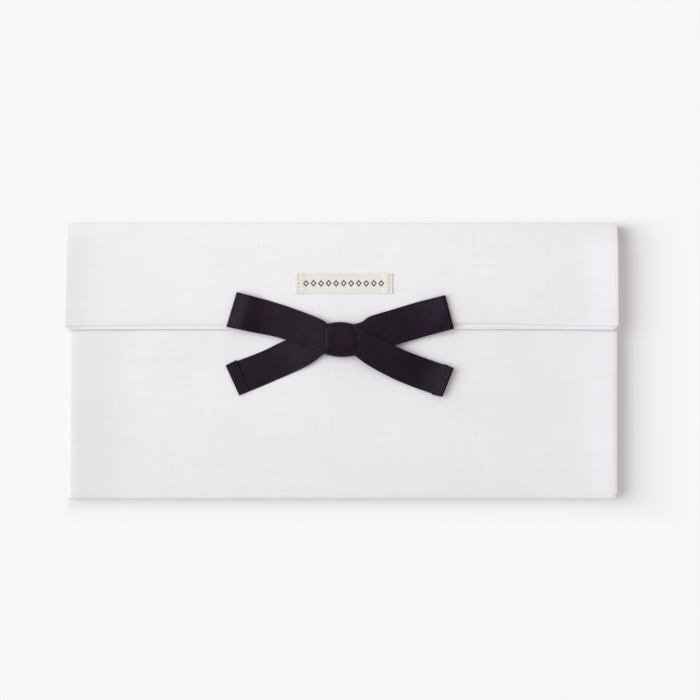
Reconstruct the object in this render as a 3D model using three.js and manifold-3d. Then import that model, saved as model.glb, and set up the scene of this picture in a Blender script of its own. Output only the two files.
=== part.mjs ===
import * as THREE from 'three';
import { mergeVertices } from 'three/addons/utils/BufferGeometryUtils.js';
import Module from 'manifold-3d';

// A white cotton envelope pouch with a ribbon bow, lying on its back.
// x runs across it, y up its front, z out of its front. All sizes are millimetres.

// Outline of the pouch
const BODY_WIDTH = 247.4;
const POUCH_HEIGHT = 125;
const BODY_EDGE_ROUNDING = 2.5;
const BODY_CORNER_FLAT = 0.5;
const TOP_FOLD_OVERHANG = 0.6;
const FLAP_EDGE_OVERHANG = 1.3;
const FLAP_DROP = 47.6;
const FLAP_CORNER_RADIUS = 2.6;
const FLAP_EDGE_ROUNDING = 0.6;
const FOLD_ROUNDING = 0.4;
const MOUTH_DROP = 8;

// Plies of cloth
const OUTER_CLOTH = 0.5;
const INTERLINING = 0.5;
const LINING_CLOTH = 0.3;
const PLY_GAP = 0.1;
const POCKET_GAP = 4.4;
const SEAM_ALLOWANCE = 6;

// Clearance between pieces that move or are cut to fit each other
const PIECE_GAP = 0.3;

// Ribbon and bow
const RIBBON_WIDTH = 15;
const RIBBON_THICKNESS = 0.4;
const RIBBON_SEWN_LENGTH = 8;
const FRONT_RIBBON_UNDER_FLAP = 18;
const FRONT_RIBBON_UNDER_KNOT = 9;
const KNOT_OFFSET = -1.4;
const KNOT_BELOW_EDGE = 5.2;
const KNOT_WIDTH = 14.6;
const KNOT_HEIGHT = 15.8;
const KNOT_COVER = 1.5;
const KNOT_ROUNDING = 2.5;
const KNOT_WRAP = 0.8;
const STACK_GAP = 0.2;
const LOOP_SPACE = 0.8;
const LOOP_PUFF = 1;
const HEM_LENGTH = 7.2;

// The four arms of the bow. REACH is how far the middle of an arm's end lies from the knot's side, RISE
// how far above the knot's middle, and BOW how far its edges curve. TOP_INSET and BOTTOM_INSET are where
// its edges meet the knot, in from the knot's upper and lower side.
const LEFT_LOOP_REACH = 41.1;
const LEFT_LOOP_RISE = 13.4;
const LEFT_LOOP_BOW = 1.1;
const LEFT_LOOP_TOP_INSET = 0.5;
const LEFT_LOOP_BOTTOM_INSET = 1.9;
const LEFT_TAIL_REACH = 40.8;
const LEFT_TAIL_RISE = -18.3;
const LEFT_TAIL_BOW = -1;
const LEFT_TAIL_TOP_INSET = 0.5;
const LEFT_TAIL_BOTTOM_INSET = 0.5;
const RIGHT_LOOP_REACH = 42.7;
const RIGHT_LOOP_RISE = 12.6;
const RIGHT_LOOP_BOW = 0.5;
const RIGHT_LOOP_TOP_INSET = 0.9;
const RIGHT_LOOP_BOTTOM_INSET = 0.5;
const RIGHT_TAIL_REACH = 41.7;
const RIGHT_TAIL_RISE = -19.4;
const RIGHT_TAIL_BOW = -1.8;
const RIGHT_TAIL_TOP_INSET = 1.5;
const RIGHT_TAIL_BOTTOM_INSET = 0.5;

// side is an arm's side of the knot and angle its direction at its end, in degrees. The moving stretch
// starts at the share split, and a tail sinks between the shares sinkFrom and sinkTo.
const LEFT_LOOP = {
  side: -1,
  reach: LEFT_LOOP_REACH,
  rise: LEFT_LOOP_RISE,
  angle: 15.3,
  bow: LEFT_LOOP_BOW,
  topInset: LEFT_LOOP_TOP_INSET,
  bottomInset: LEFT_LOOP_BOTTOM_INSET,
  split: 0,
  sinkFrom: 0.5,
  sinkTo: 0.9,
};
const LEFT_TAIL = {
  side: -1,
  reach: LEFT_TAIL_REACH,
  rise: LEFT_TAIL_RISE,
  angle: -24.4,
  bow: LEFT_TAIL_BOW,
  topInset: LEFT_TAIL_TOP_INSET,
  bottomInset: LEFT_TAIL_BOTTOM_INSET,
  split: 0.42,
  sinkFrom: 0.17,
  sinkTo: 0.75,
};
const RIGHT_LOOP = {
  side: 1,
  reach: RIGHT_LOOP_REACH,
  rise: RIGHT_LOOP_RISE,
  angle: 13.7,
  bow: RIGHT_LOOP_BOW,
  topInset: RIGHT_LOOP_TOP_INSET,
  bottomInset: RIGHT_LOOP_BOTTOM_INSET,
  split: 0.46,
};
const RIGHT_TAIL = {
  side: 1,
  reach: RIGHT_TAIL_REACH,
  rise: RIGHT_TAIL_RISE,
  angle: -22,
  bow: RIGHT_TAIL_BOW,
  topInset: RIGHT_TAIL_TOP_INSET,
  bottomInset: RIGHT_TAIL_BOTTOM_INSET,
  split: 0,
  sinkFrom: 0.44,
  sinkTo: 0.82,
};

// Label
const LABEL_WIDTH = 44.4;
const LABEL_HEIGHT = 9.5;
const LABEL_THICKNESS = 0.4;
const LABEL_OFFSET = 0.9;
const LABEL_ABOVE_EDGE = 20.2;
const LABEL_STITCH_INSET = 1.5;

// Sewing thread
const THREAD_WIDTH = 0.4;
const THREAD_HEIGHT = 0.25;
const STITCH_LENGTH = 3;
const EDGE_STITCH_INSET = 2.2;
const MOUTH_STITCH_INSET = 2;
const SEAM_STITCH_INSET = 1;
const HEM_STITCH_INSET = 1.2;

// Steps along curved faces
const CORNER_STEPS = 4;
const ROUNDING_STEPS = 3;
const ARM_STEPS = 10;
const FOLD_STEPS = 5;

// How far a cutting block runs past what it cuts
const CUT_MARGIN = 1;

// Levels and lines worked out from the sizes above
const TOP = POUCH_HEIGHT / 2;
const BOTTOM = -POUCH_HEIGHT / 2;
const TOP_FOLD_WIDTH = BODY_WIDTH + 2 * TOP_FOLD_OVERHANG;
const FLAP_EDGE_WIDTH = BODY_WIDTH + 2 * FLAP_EDGE_OVERHANG;
const MOUTH = TOP - MOUTH_DROP;
const FOLD_INSIDE = TOP - OUTER_CLOTH;
const FOLD_LINING_INSIDE = FOLD_INSIDE - PLY_GAP - LINING_CLOTH;
const ROOT_LINE = FOLD_INSIDE - PIECE_GAP;
const INNER_ROOT_LINE = FOLD_LINING_INSIDE - PIECE_GAP;
const FREE_EDGE = TOP - FLAP_DROP;
const BODY_CORNER_RADIUS = BODY_EDGE_ROUNDING + BODY_CORNER_FLAT;
const LEAST_CORNER_RADIUS = OUTER_CLOTH + LINING_CLOTH;
const INTERLINING_LEVEL = OUTER_CLOTH + PLY_GAP;
const LINING_LEVEL = INTERLINING_LEVEL + INTERLINING + PLY_GAP;
const PANEL = LINING_LEVEL + LINING_CLOTH;
const BODY_TOP = 2 * PANEL + POCKET_GAP;
const SEAM_LEVEL = BODY_TOP / 2;
const FLAP_UNDERSIDE = BODY_TOP + RIBBON_THICKNESS + PIECE_GAP + STACK_GAP / 2;
const FLAP_TOP = FLAP_UNDERSIDE + PANEL;
const KNOT_X = KNOT_OFFSET;
const KNOT_Y = FREE_EDGE - KNOT_BELOW_EDGE;
const KNOT_BASE = BODY_TOP + RIBBON_THICKNESS + PIECE_GAP;
const PANEL_REST = BODY_TOP + PIECE_GAP + RIBBON_THICKNESS / 2;
const FLAP_REST = FLAP_TOP + PIECE_GAP + RIBBON_THICKNESS / 2;
const PLY_STEP = RIBBON_THICKNESS + STACK_GAP;
const LOOP_STEP = RIBBON_THICKNESS + LOOP_SPACE;
const KNOT_TOP = FLAP_REST + PLY_STEP + LOOP_STEP + RIBBON_THICKNESS / 2 + KNOT_COVER;

const wasm = await Module();
wasm.setup();

// A closed three.js geometry as a solid that can be joined and cut
function solidOf(geometry) {
  geometry.deleteAttribute('normal');
  geometry.deleteAttribute('uv');
  const merged = mergeVertices(geometry, 1e-5);
  const mesh = new wasm.Mesh({
    numProp: 3,
    vertProperties: Float32Array.from(merged.attributes.position.array),
    triVerts: Uint32Array.from(merged.index.array),
  });
  return new wasm.Manifold(mesh);
}

// A solid back as a three.js geometry
function geometryOf(solid) {
  const mesh = solid.getMesh();
  const positions = new Float32Array(mesh.numVert * 3);
  for (let vertex = 0; vertex < mesh.numVert; vertex += 1) {
    for (let axis = 0; axis < 3; axis += 1) {
      positions[vertex * 3 + axis] = mesh.vertProperties[vertex * mesh.numProp + axis];
    }
  }
  const geometry = new THREE.BufferGeometry();
  geometry.setAttribute('position', new THREE.BufferAttribute(positions, 3));
  geometry.setIndex(new THREE.BufferAttribute(Uint32Array.from(mesh.triVerts), 1));
  geometry.computeVertexNormals();
  return geometry;
}

// A box from its lowest to its highest corner
function block(x0, x1, y0, y1, z0, z1) {
  const geometry = new THREE.BoxGeometry(x1 - x0, y1 - y0, z1 - z0);
  geometry.translate((x0 + x1) / 2, (y0 + y1) / 2, (z0 + z1) / 2);
  return solidOf(geometry);
}

// Points round an arc, both ends included
function arc(x, y, radius, from, to) {
  const points = [];
  for (let step = 0; step <= CORNER_STEPS; step += 1) {
    const angle = THREE.MathUtils.degToRad(from + ((to - from) * step) / CORNER_STEPS);
    points.push(new THREE.Vector2(x + radius * Math.cos(angle), y + radius * Math.sin(angle)));
  }
  return points;
}

// An outline extruded in z with sharp edges
function prism(outline, z0, z1) {
  const settings = { depth: z1 - z0, bevelEnabled: false };
  const geometry = new THREE.ExtrudeGeometry(new THREE.Shape(outline), settings);
  geometry.translate(0, 0, z0);
  return solidOf(geometry);
}

// An outline extruded in z with its upper and lower edges rounded
function roundedPrism(outline, z0, z1, rounding) {
  const geometry = new THREE.ExtrudeGeometry(new THREE.Shape(outline), {
    depth: z1 - z0 - 2 * rounding,
    bevelThickness: rounding,
    bevelSize: rounding,
    bevelOffset: -rounding,
    bevelSegments: ROUNDING_STEPS,
  });
  geometry.translate(0, 0, z0 + rounding);
  return solidOf(geometry);
}

// An outline drawn in y and z, extruded across the pouch
function crosswise(outline, x0, x1) {
  const settings = { depth: x1 - x0, bevelEnabled: false };
  const geometry = new THREE.ExtrudeGeometry(new THREE.Shape(outline), settings);
  const across = new THREE.Vector3(1, 0, 0);
  const up = new THREE.Vector3(0, 1, 0);
  const out = new THREE.Vector3(0, 0, 1);
  geometry.applyMatrix4(new THREE.Matrix4().makeBasis(up, out, across));
  geometry.translate(x0, 0, 0);
  return solidOf(geometry);
}

// The bag's outline, drawn in from its edge, with its two lower corners rounded
function bagOutline(inset, top) {
  const half = BODY_WIDTH / 2 - inset;
  const bottom = BOTTOM + inset;
  const radius = Math.max(BODY_CORNER_RADIUS - inset, LEAST_CORNER_RADIUS);
  return [
    new THREE.Vector2(half, top),
    new THREE.Vector2(-half, top),
    ...arc(-half + radius, bottom + radius, radius, 180, 270),
    ...arc(half - radius, bottom + radius, radius, 270, 360),
  ];
}

// The flap's outline, drawn in from its edge, a little wider at its free edge than at the crease
function flapOutline(inset, top) {
  const flare = (FLAP_EDGE_WIDTH - TOP_FOLD_WIDTH) / 2 / FLAP_DROP;
  const half = FLAP_EDGE_WIDTH / 2 - inset;
  const bottom = FREE_EDGE + inset;
  const topHalf = half - flare * (top - FREE_EDGE);
  const radius = Math.max(FLAP_CORNER_RADIUS - inset, LEAST_CORNER_RADIUS);
  return [
    new THREE.Vector2(topHalf, top),
    new THREE.Vector2(-topHalf, top),
    ...arc(-half + radius, bottom + radius, radius, 180, 270),
    ...arc(half - radius, bottom + radius, radius, 270, 360),
  ];
}

// A shell of cloth one ply thick round the bag, closed at the bottom and both sides
function bagShell(inset, z0, z1, thickness, rounding) {
  const beyond = TOP + POCKET_GAP;
  const outside = roundedPrism(bagOutline(inset, beyond), z0, z1, rounding);
  const innerRounding = Math.max(rounding - thickness, thickness / 2);
  const inside = roundedPrism(
    bagOutline(inset + thickness, beyond + POUCH_HEIGHT),
    z0 + thickness,
    z1 - thickness,
    innerRounding,
  );
  return outside.subtract(inside);
}

// A rim of seam allowance that runs inwards from the seam, at the given level
function seamRim(z0, z1) {
  const outside = prism(bagOutline(OUTER_CLOTH / 2, MOUTH), z0, z1);
  const innerOutline = bagOutline(OUTER_CLOTH + SEAM_ALLOWANCE, TOP);
  return outside.subtract(prism(innerOutline, z0 - CUT_MARGIN, z1 + CUT_MARGIN));
}

// Everything of the lining bag on one side of its seam and below its mouth
function halfOf(shell, z0, z1) {
  const half = BODY_WIDTH;
  return shell.intersect(block(-half, half, -POUCH_HEIGHT, MOUTH, z0, z1));
}

// Outer cloth of the back: a flat panel that goes on past the mouth at the bag's full width
function backPanelOuter() {
  const panel = prism(bagOutline(BODY_EDGE_ROUNDING + PLY_GAP, ROOT_LINE), 0, OUTER_CLOTH);
  const half = BODY_WIDTH / 2;
  return panel.add(block(-half, half, MOUTH + PIECE_GAP, ROOT_LINE, 0, OUTER_CLOTH));
}

// Outer cloth of the front: a flat panel with its mouth edge turned in over the other plies
function frontPanelOuter() {
  const inset = BODY_EDGE_ROUNDING + PLY_GAP;
  const panel = prism(bagOutline(inset, MOUTH), BODY_TOP - OUTER_CLOTH, BODY_TOP);
  const half = BODY_WIDTH / 2 - inset;
  return panel.add(block(-half, half, MOUTH - OUTER_CLOTH, MOUTH, BODY_TOP - PANEL, BODY_TOP));
}

// One sewn edge of the bag: the cloth that turns round it, with both seam allowances pressed inwards
function sewnEdge(x0, x1, y0, y1) {
  const shell = bagShell(0, 0, BODY_TOP, OUTER_CLOTH, BODY_EDGE_ROUNDING);
  const low = -CUT_MARGIN;
  const high = BODY_TOP + CUT_MARGIN;
  const turned = shell.subtract(prism(bagOutline(BODY_EDGE_ROUNDING, TOP), low, high));
  const sewn = turned.add(seamRim(SEAM_LEVEL - OUTER_CLOTH, SEAM_LEVEL + OUTER_CLOTH));
  return sewn.intersect(block(x0, x1, y0, y1, low, high));
}

// The sewn edge along the left or right side, with its lower corner
function sideSeam(side) {
  const inside = side * (BODY_WIDTH / 2 - OUTER_CLOTH - SEAM_ALLOWANCE);
  const outside = side * BODY_WIDTH;
  return sewnEdge(Math.min(inside, outside), Math.max(inside, outside), -POUCH_HEIGHT, MOUTH);
}

// The sewn edge along the bottom, between the two side seams
function bottomSeam() {
  const half = BODY_WIDTH / 2 - OUTER_CLOTH - SEAM_ALLOWANCE - PLY_GAP;
  return sewnEdge(-half, half, -POUCH_HEIGHT, BOTTOM + OUTER_CLOTH + SEAM_ALLOWANCE);
}

// A flat sheet of interlining inside a panel
function panelInterlining(z0, top) {
  return prism(bagOutline(BODY_EDGE_ROUNDING + PIECE_GAP, top), z0, z0 + INTERLINING);
}

// The lining bag lies inside the seam allowances; this is its shell, before it is halved
function liningShell() {
  const inset = OUTER_CLOTH + SEAM_ALLOWANCE + PIECE_GAP;
  return bagShell(inset, LINING_LEVEL, BODY_TOP - LINING_LEVEL, LINING_CLOTH, LINING_CLOTH);
}

function backLining() {
  const tray = halfOf(liningShell(), 0, SEAM_LEVEL - PLY_GAP / 2);
  const half = BODY_WIDTH / 2 - OUTER_CLOTH - SEAM_ALLOWANCE - PIECE_GAP;
  const tongueLow = LINING_LEVEL;
  const tongueHigh = tongueLow + LINING_CLOTH;
  const tongue = block(-half, half, MOUTH - OUTER_CLOTH, INNER_ROOT_LINE, tongueLow, tongueHigh);
  return tray.add(tongue);
}

function frontLining() {
  const tray = halfOf(liningShell(), SEAM_LEVEL + PLY_GAP / 2, BODY_TOP);
  const half = BODY_WIDTH;
  return tray.intersect(block(-half, half, -POUCH_HEIGHT, MOUTH - OUTER_CLOTH - PLY_GAP, 0, BODY_TOP));
}

// The strip of outer cloth at the top, between back panel and flap, its outer corners rounded
function foldOuter() {
  const y = TOP - FOLD_ROUNDING;
  const outline = [
    new THREE.Vector2(FOLD_INSIDE, 0),
    ...arc(y, FOLD_ROUNDING, FOLD_ROUNDING, -90, 0),
    ...arc(y, FLAP_TOP - FOLD_ROUNDING, FOLD_ROUNDING, 0, 90),
    new THREE.Vector2(FOLD_INSIDE, FLAP_TOP),
  ];
  return crosswise(outline, -TOP_FOLD_WIDTH / 2, TOP_FOLD_WIDTH / 2);
}

// Its lining, one ply further in
function foldLining() {
  const half = TOP_FOLD_WIDTH / 2 - OUTER_CLOTH - PLY_GAP;
  const high = FLAP_TOP - LINING_LEVEL;
  return block(-half, half, FOLD_LINING_INSIDE, FOLD_INSIDE - PLY_GAP, LINING_LEVEL, high);
}

// Outer cloth of the flap: turned down round both sides and the free edge, with a slot for the ribbon
function flapOuter() {
  const beyond = TOP + FLAP_CORNER_RADIUS;
  const low = FLAP_UNDERSIDE - 2 * FLAP_EDGE_ROUNDING;
  const full = roundedPrism(flapOutline(0, beyond), low, FLAP_TOP, FLAP_EDGE_ROUNDING);
  const half = FLAP_EDGE_WIDTH;
  const cloth = full.intersect(block(-half, half, BOTTOM, ROOT_LINE, FLAP_UNDERSIDE, FLAP_TOP + PLY_GAP));
  const hollow = prism(flapOutline(OUTER_CLOTH, beyond + POCKET_GAP), low, FLAP_TOP - OUTER_CLOTH);
  const slot = ribbonSlot(FREE_EDGE - OUTER_CLOTH, FREE_EDGE + OUTER_CLOTH * 2, low, FLAP_TOP - OUTER_CLOTH);
  return cloth.subtract(hollow).subtract(slot);
}

// The room that the sewn ribbon needs in another ply
function ribbonSlot(y0, y1, z0, z1) {
  const half = RIBBON_WIDTH / 2 + PIECE_GAP;
  return block(KNOT_X - half, KNOT_X + half, y0, y1, z0, z1);
}

function flapInterlining() {
  const low = FLAP_UNDERSIDE + LINING_CLOTH + PLY_GAP;
  const sheet = prism(flapOutline(OUTER_CLOTH + PLY_GAP, INNER_ROOT_LINE), low, low + INTERLINING);
  const notchEnd = FREE_EDGE + RIBBON_SEWN_LENGTH + PIECE_GAP;
  const high = low + INTERLINING + CUT_MARGIN;
  return sheet.subtract(ribbonSlot(FREE_EDGE - CUT_MARGIN, notchEnd, low - CUT_MARGIN, high));
}

function flapLining() {
  const outline = flapOutline(OUTER_CLOTH + PLY_GAP, INNER_ROOT_LINE);
  return prism(outline, FLAP_UNDERSIDE, FLAP_UNDERSIDE + LINING_CLOTH);
}

// A ribbon end that lies flat between two levels
function flatRibbon(y0, y1, z0) {
  const half = RIBBON_WIDTH / 2;
  return block(KNOT_X - half, KNOT_X + half, y0, y1, z0, z0 + RIBBON_THICKNESS);
}

function flapRibbonEnd() {
  const room = INTERLINING + 2 * PLY_GAP;
  const z0 = FLAP_UNDERSIDE + LINING_CLOTH + (room - RIBBON_THICKNESS) / 2;
  return flatRibbon(FREE_EDGE, FREE_EDGE + RIBBON_SEWN_LENGTH, z0);
}

function frontRibbon() {
  const underKnot = KNOT_Y + KNOT_HEIGHT / 2 - FRONT_RIBBON_UNDER_KNOT;
  return flatRibbon(underKnot, FREE_EDGE + FRONT_RIBBON_UNDER_FLAP, BODY_TOP);
}

// The knot's cross-section, stepped where it sits over the flap's free edge
function knotSolid(inset, x0, x1) {
  const low = KNOT_Y - KNOT_HEIGHT / 2 + inset;
  const high = KNOT_Y + KNOT_HEIGHT / 2 - inset;
  const z0 = KNOT_BASE + inset;
  const z1 = KNOT_TOP - inset;
  const radius = Math.max(KNOT_ROUNDING - inset, PIECE_GAP);
  const outline = [
    ...arc(low + radius, z0 + radius, radius, 180, 270),
    ...arc(high - radius, z0 + radius, radius, 270, 360),
    ...arc(high - radius, z1 - radius, radius, 0, 90),
    ...arc(low + radius, z1 - radius, radius, 90, 180),
  ];
  const stepLine = FREE_EDGE - PIECE_GAP - inset;
  const stepTop = FLAP_TOP + PIECE_GAP + inset;
  const step = block(x0 - CUT_MARGIN, x1 + CUT_MARGIN, stepLine, TOP, 0, stepTop);
  return crosswise(outline, x0, x1).subtract(step);
}

// The ribbon wrapped round the middle of the bow
function bowKnot() {
  const half = KNOT_WIDTH / 2;
  const cutHalf = half + CUT_MARGIN;
  const outside = knotSolid(0, KNOT_X - half, KNOT_X + half);
  return outside.subtract(knotSolid(KNOT_WRAP, KNOT_X - cutHalf, KNOT_X + cutHalf));
}

// The ribbon gathered inside the knot
function knotCore() {
  const half = KNOT_WIDTH / 2;
  return knotSolid(KNOT_WRAP + PIECE_GAP, KNOT_X - half, KNOT_X + half);
}

// A band of ribbon or thread from stations, each with the points of its two edges and a thickness
const STATION_CORNERS = 4;
function band(stations) {
  const positions = [];
  stations.forEach((station, index) => {
    const before = stations[Math.max(index - 1, 0)];
    const after = stations[Math.min(index + 1, stations.length - 1)];
    const along = after.left.clone().add(after.right).sub(before.left).sub(before.right);
    const across = station.right.clone().sub(station.left);
    const half = across.clone().cross(along).setLength(station.thickness / 2);
    positions.push(...station.left.clone().add(half).toArray());
    positions.push(...station.right.clone().add(half).toArray());
    positions.push(...station.right.clone().sub(half).toArray());
    positions.push(...station.left.clone().sub(half).toArray());
  });
  const last = (stations.length - 1) * STATION_CORNERS;
  const triangles = [0, 2, 1, 0, 3, 2, last, last + 1, last + 2, last, last + 2, last + 3];
  for (let start = 0; start < last; start += STATION_CORNERS) {
    for (let corner = 0; corner < STATION_CORNERS; corner += 1) {
      const a = start + corner;
      const b = start + ((corner + 1) % STATION_CORNERS);
      const beyond = b + STATION_CORNERS;
      triangles.push(a, b, beyond, a, beyond, a + STATION_CORNERS);
    }
  }
  const geometry = new THREE.BufferGeometry();
  geometry.setAttribute('position', new THREE.Float32BufferAttribute(positions, 3));
  geometry.setIndex(triangles);
  return solidOf(geometry);
}

// A point of one edge of an arm, a share of the way from the knot to its end
function edgePoint(arm, inset, sign, share) {
  const angle = THREE.MathUtils.degToRad(arm.angle);
  const acrossX = (-sign * RIBBON_WIDTH * Math.sin(angle)) / 2;
  const acrossY = (sign * RIBBON_WIDTH * Math.cos(angle)) / 2;
  const startX = KNOT_X + arm.side * (KNOT_WIDTH / 2 + PIECE_GAP);
  const startY = KNOT_Y + sign * (KNOT_HEIGHT / 2 - inset);
  const endX = KNOT_X + arm.side * (KNOT_WIDTH / 2 + arm.reach + acrossX);
  const endY = KNOT_Y + arm.rise + acrossY;
  const curve = new THREE.QuadraticBezierCurve(
    new THREE.Vector2(startX, startY),
    new THREE.Vector2((startX + endX) / 2, (startY + endY) / 2 + 2 * arm.bow),
    new THREE.Vector2(endX, endY),
  );
  return curve.getPoint(share);
}

// One station across an arm: a share of the way along, at a height, pushed past the end by some length
function armStation(arm, share, height, past = 0) {
  const angle = THREE.MathUtils.degToRad(arm.angle);
  const push = new THREE.Vector3(arm.side * Math.cos(angle) * past, Math.sin(angle) * past, height);
  const upper = edgePoint(arm, arm.topInset, 1, share);
  const lower = edgePoint(arm, arm.bottomInset, -1, share);
  const upperPoint = new THREE.Vector3(upper.x, upper.y, 0).add(push);
  const lowerPoint = new THREE.Vector3(lower.x, lower.y, 0).add(push);
  const rightward = arm.side > 0;
  return {
    left: rightward ? upperPoint : lowerPoint,
    right: rightward ? lowerPoint : upperPoint,
    thickness: RIBBON_THICKNESS,
  };
}

// Stations along an arm between two shares of its length, at the heights that a function gives
function armRun(arm, from, to, heightAt) {
  const stations = [];
  for (let step = 0; step <= ARM_STEPS; step += 1) {
    const share = from + ((to - from) * step) / ARM_STEPS;
    stations.push(armStation(arm, share, heightAt(share)));
  }
  return stations;
}

// Stations round the fold at an arm's end, from one height to another
function armFold(arm, fromHeight, toHeight) {
  const radius = Math.abs(toHeight - fromHeight) / 2;
  const stations = [];
  for (let step = 1; step < FOLD_STEPS; step += 1) {
    const turn = (Math.PI * step) / FOLD_STEPS;
    const height = (fromHeight + toHeight) / 2 + ((fromHeight - toHeight) / 2) * Math.cos(turn);
    stations.push(armStation(arm, 1, height, radius * Math.sin(turn)));
  }
  return stations;
}

// Half the gap between the still root and the moving stretch, as a share of the arm's length
function splitMargin(arm) {
  return PIECE_GAP / 2 / arm.reach;
}

function movingStart(arm) {
  return arm.split > 0 ? arm.split + splitMargin(arm) : 0;
}

// A height that sinks from one level to another along an arm
function sinking(arm, share, high, low) {
  return THREE.MathUtils.lerp(high, low, THREE.MathUtils.smoothstep(share, arm.sinkFrom, arm.sinkTo));
}

// Heights of the bow's plies: the left loop over the left tail, the right tail over the right loop
function leftTailHeight(share) {
  return sinking(LEFT_TAIL, share, FLAP_REST, PANEL_REST);
}

function rightTailHeight(share) {
  return sinking(RIGHT_TAIL, share, FLAP_REST + LOOP_STEP + PLY_STEP, PANEL_REST + PLY_STEP);
}

function leftLoopLow(share) {
  return sinking(LEFT_LOOP, share, FLAP_REST + PLY_STEP, FLAP_REST);
}

function rightLoopLow() {
  return FLAP_REST;
}

// How far a loop's upper ply swells between its hinge and its end
function puffAt(arm, share) {
  const start = movingStart(arm);
  return share <= start ? 0 : LOOP_PUFF * Math.sin((Math.PI * (share - start)) / (1 - start));
}

// A loop of ribbon: out along its upper ply, round the fold and back along its lower ply
function loopSolid(arm, lowAt) {
  const start = movingStart(arm);
  const highAt = (share) => lowAt(share) + LOOP_STEP + puffAt(arm, share);
  const out = armRun(arm, start, 1, highAt);
  const fold = armFold(arm, highAt(1), lowAt(1));
  const back = armRun(arm, 1, start, lowAt);
  return band([...out, ...fold, ...back]);
}

// The still stretch of one ply, from the knot to where the moving part of its arm begins
function rootPly(arm, heightAt) {
  return band(armRun(arm, 0, arm.split - splitMargin(arm), heightAt));
}

// A tail of ribbon whose end is hemmed, over the top or underneath
function tailSolid(arm, heightAt, hemOffset) {
  const run = armRun(arm, movingStart(arm), 1, heightAt);
  const hemHeight = heightAt(1) + hemOffset;
  const fold = armFold(arm, heightAt(1), hemHeight);
  const hem = [armStation(arm, 1, hemHeight), armStation(arm, 1, hemHeight, -HEM_LENGTH)];
  return band([...run, ...fold, ...hem]);
}

// A straight row of stitches on a flat face: each rises in its middle and dips at its needle holes
function stitchRow(from, to, z0) {
  const length = from.distanceTo(to);
  const count = Math.max(1, Math.round(length / STITCH_LENGTH));
  const outline = [new THREE.Vector2(0, 0), new THREE.Vector2(length, 0)];
  for (let half = 2 * count; half >= 0; half -= 1) {
    const height = half % 2 === 1 ? THREAD_HEIGHT : THREAD_HEIGHT / 2;
    outline.push(new THREE.Vector2((length * half) / (2 * count), height));
  }
  const shape = new THREE.Shape(outline);
  const geometry = new THREE.ExtrudeGeometry(shape, { depth: THREAD_WIDTH, bevelEnabled: false });
  geometry.translate(0, 0, -THREAD_WIDTH / 2);
  geometry.rotateX(Math.PI / 2);
  geometry.rotateZ(Math.atan2(to.y - from.y, to.x - from.x));
  geometry.translate(from.x, from.y, z0);
  return solidOf(geometry);
}

// The topstitching along the flap's free edge
function flapEdgeThread() {
  const y = FREE_EDGE + EDGE_STITCH_INSET;
  const half = FLAP_EDGE_WIDTH / 2 - FLAP_CORNER_RADIUS;
  return stitchRow(new THREE.Vector2(-half, y), new THREE.Vector2(half, y), FLAP_TOP);
}

// The topstitching along the pocket's mouth
function mouthThread() {
  const y = MOUTH - MOUTH_STITCH_INSET;
  const half = BODY_WIDTH / 2 - BODY_EDGE_ROUNDING - MOUTH_STITCH_INSET;
  return stitchRow(new THREE.Vector2(-half, y), new THREE.Vector2(half, y), BODY_TOP);
}

// The seam that joins front and back, on their seam allowances
function seamThread() {
  const inset = OUTER_CLOTH + SEAM_STITCH_INSET;
  const z0 = SEAM_LEVEL + OUTER_CLOTH;
  const z1 = z0 + THREAD_HEIGHT;
  const outside = prism(bagOutline(inset, MOUTH - OUTER_CLOTH - PLY_GAP), z0, z1);
  const innerOutline = bagOutline(inset + THREAD_WIDTH, TOP);
  return outside.subtract(prism(innerOutline, z0 - CUT_MARGIN, z1 + CUT_MARGIN));
}

// The box of stitches that holds the front ribbon's sewn end
function frontRibbonThread() {
  const high = FREE_EDGE + FRONT_RIBBON_UNDER_FLAP - HEM_STITCH_INSET;
  const low = high - RIBBON_SEWN_LENGTH;
  const half = RIBBON_WIDTH / 2 - HEM_STITCH_INSET;
  const z0 = BODY_TOP + RIBBON_THICKNESS;
  const z1 = z0 + THREAD_HEIGHT / 2;
  const outside = block(KNOT_X - half, KNOT_X + half, low, high, z0, z1);
  const inner = half - THREAD_WIDTH;
  const innerLow = low + THREAD_WIDTH;
  const innerHigh = high - THREAD_WIDTH;
  const cutLow = z0 - CUT_MARGIN;
  const cutHigh = z1 + CUT_MARGIN;
  return outside.subtract(block(KNOT_X - inner, KNOT_X + inner, innerLow, innerHigh, cutLow, cutHigh));
}

// The stitches across a tail's hem
function hemThread(arm) {
  const past = HEM_STITCH_INSET - HEM_LENGTH;
  const station = armStation(arm, 1, 0, past);
  const from = new THREE.Vector2(station.left.x, station.left.y);
  const to = new THREE.Vector2(station.right.x, station.right.y);
  const inset = HEM_STITCH_INSET / RIBBON_WIDTH;
  const z0 = PANEL_REST + PLY_STEP + RIBBON_THICKNESS / 2 + PLY_GAP / 2;
  return stitchRow(from.clone().lerp(to, inset), to.clone().lerp(from, inset), z0);
}

// The woven label
function labelTape() {
  const left = LABEL_OFFSET - LABEL_WIDTH / 2;
  const low = FREE_EDGE + LABEL_ABOVE_EDGE - LABEL_HEIGHT / 2;
  return block(left, left + LABEL_WIDTH, low, low + LABEL_HEIGHT, FLAP_TOP, FLAP_TOP + LABEL_THICKNESS);
}

// The row of stitches at one end of the label
function labelThread(side) {
  const x = LABEL_OFFSET + side * (LABEL_WIDTH / 2 - LABEL_STITCH_INSET);
  const y = FREE_EDGE + LABEL_ABOVE_EDGE;
  const half = LABEL_HEIGHT / 2 - THREAD_WIDTH;
  const from = new THREE.Vector2(x, y - half);
  const to = new THREE.Vector2(x, y + half);
  return stitchRow(from, to, FLAP_TOP + LABEL_THICKNESS);
}

const pouch = new THREE.Group();

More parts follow.
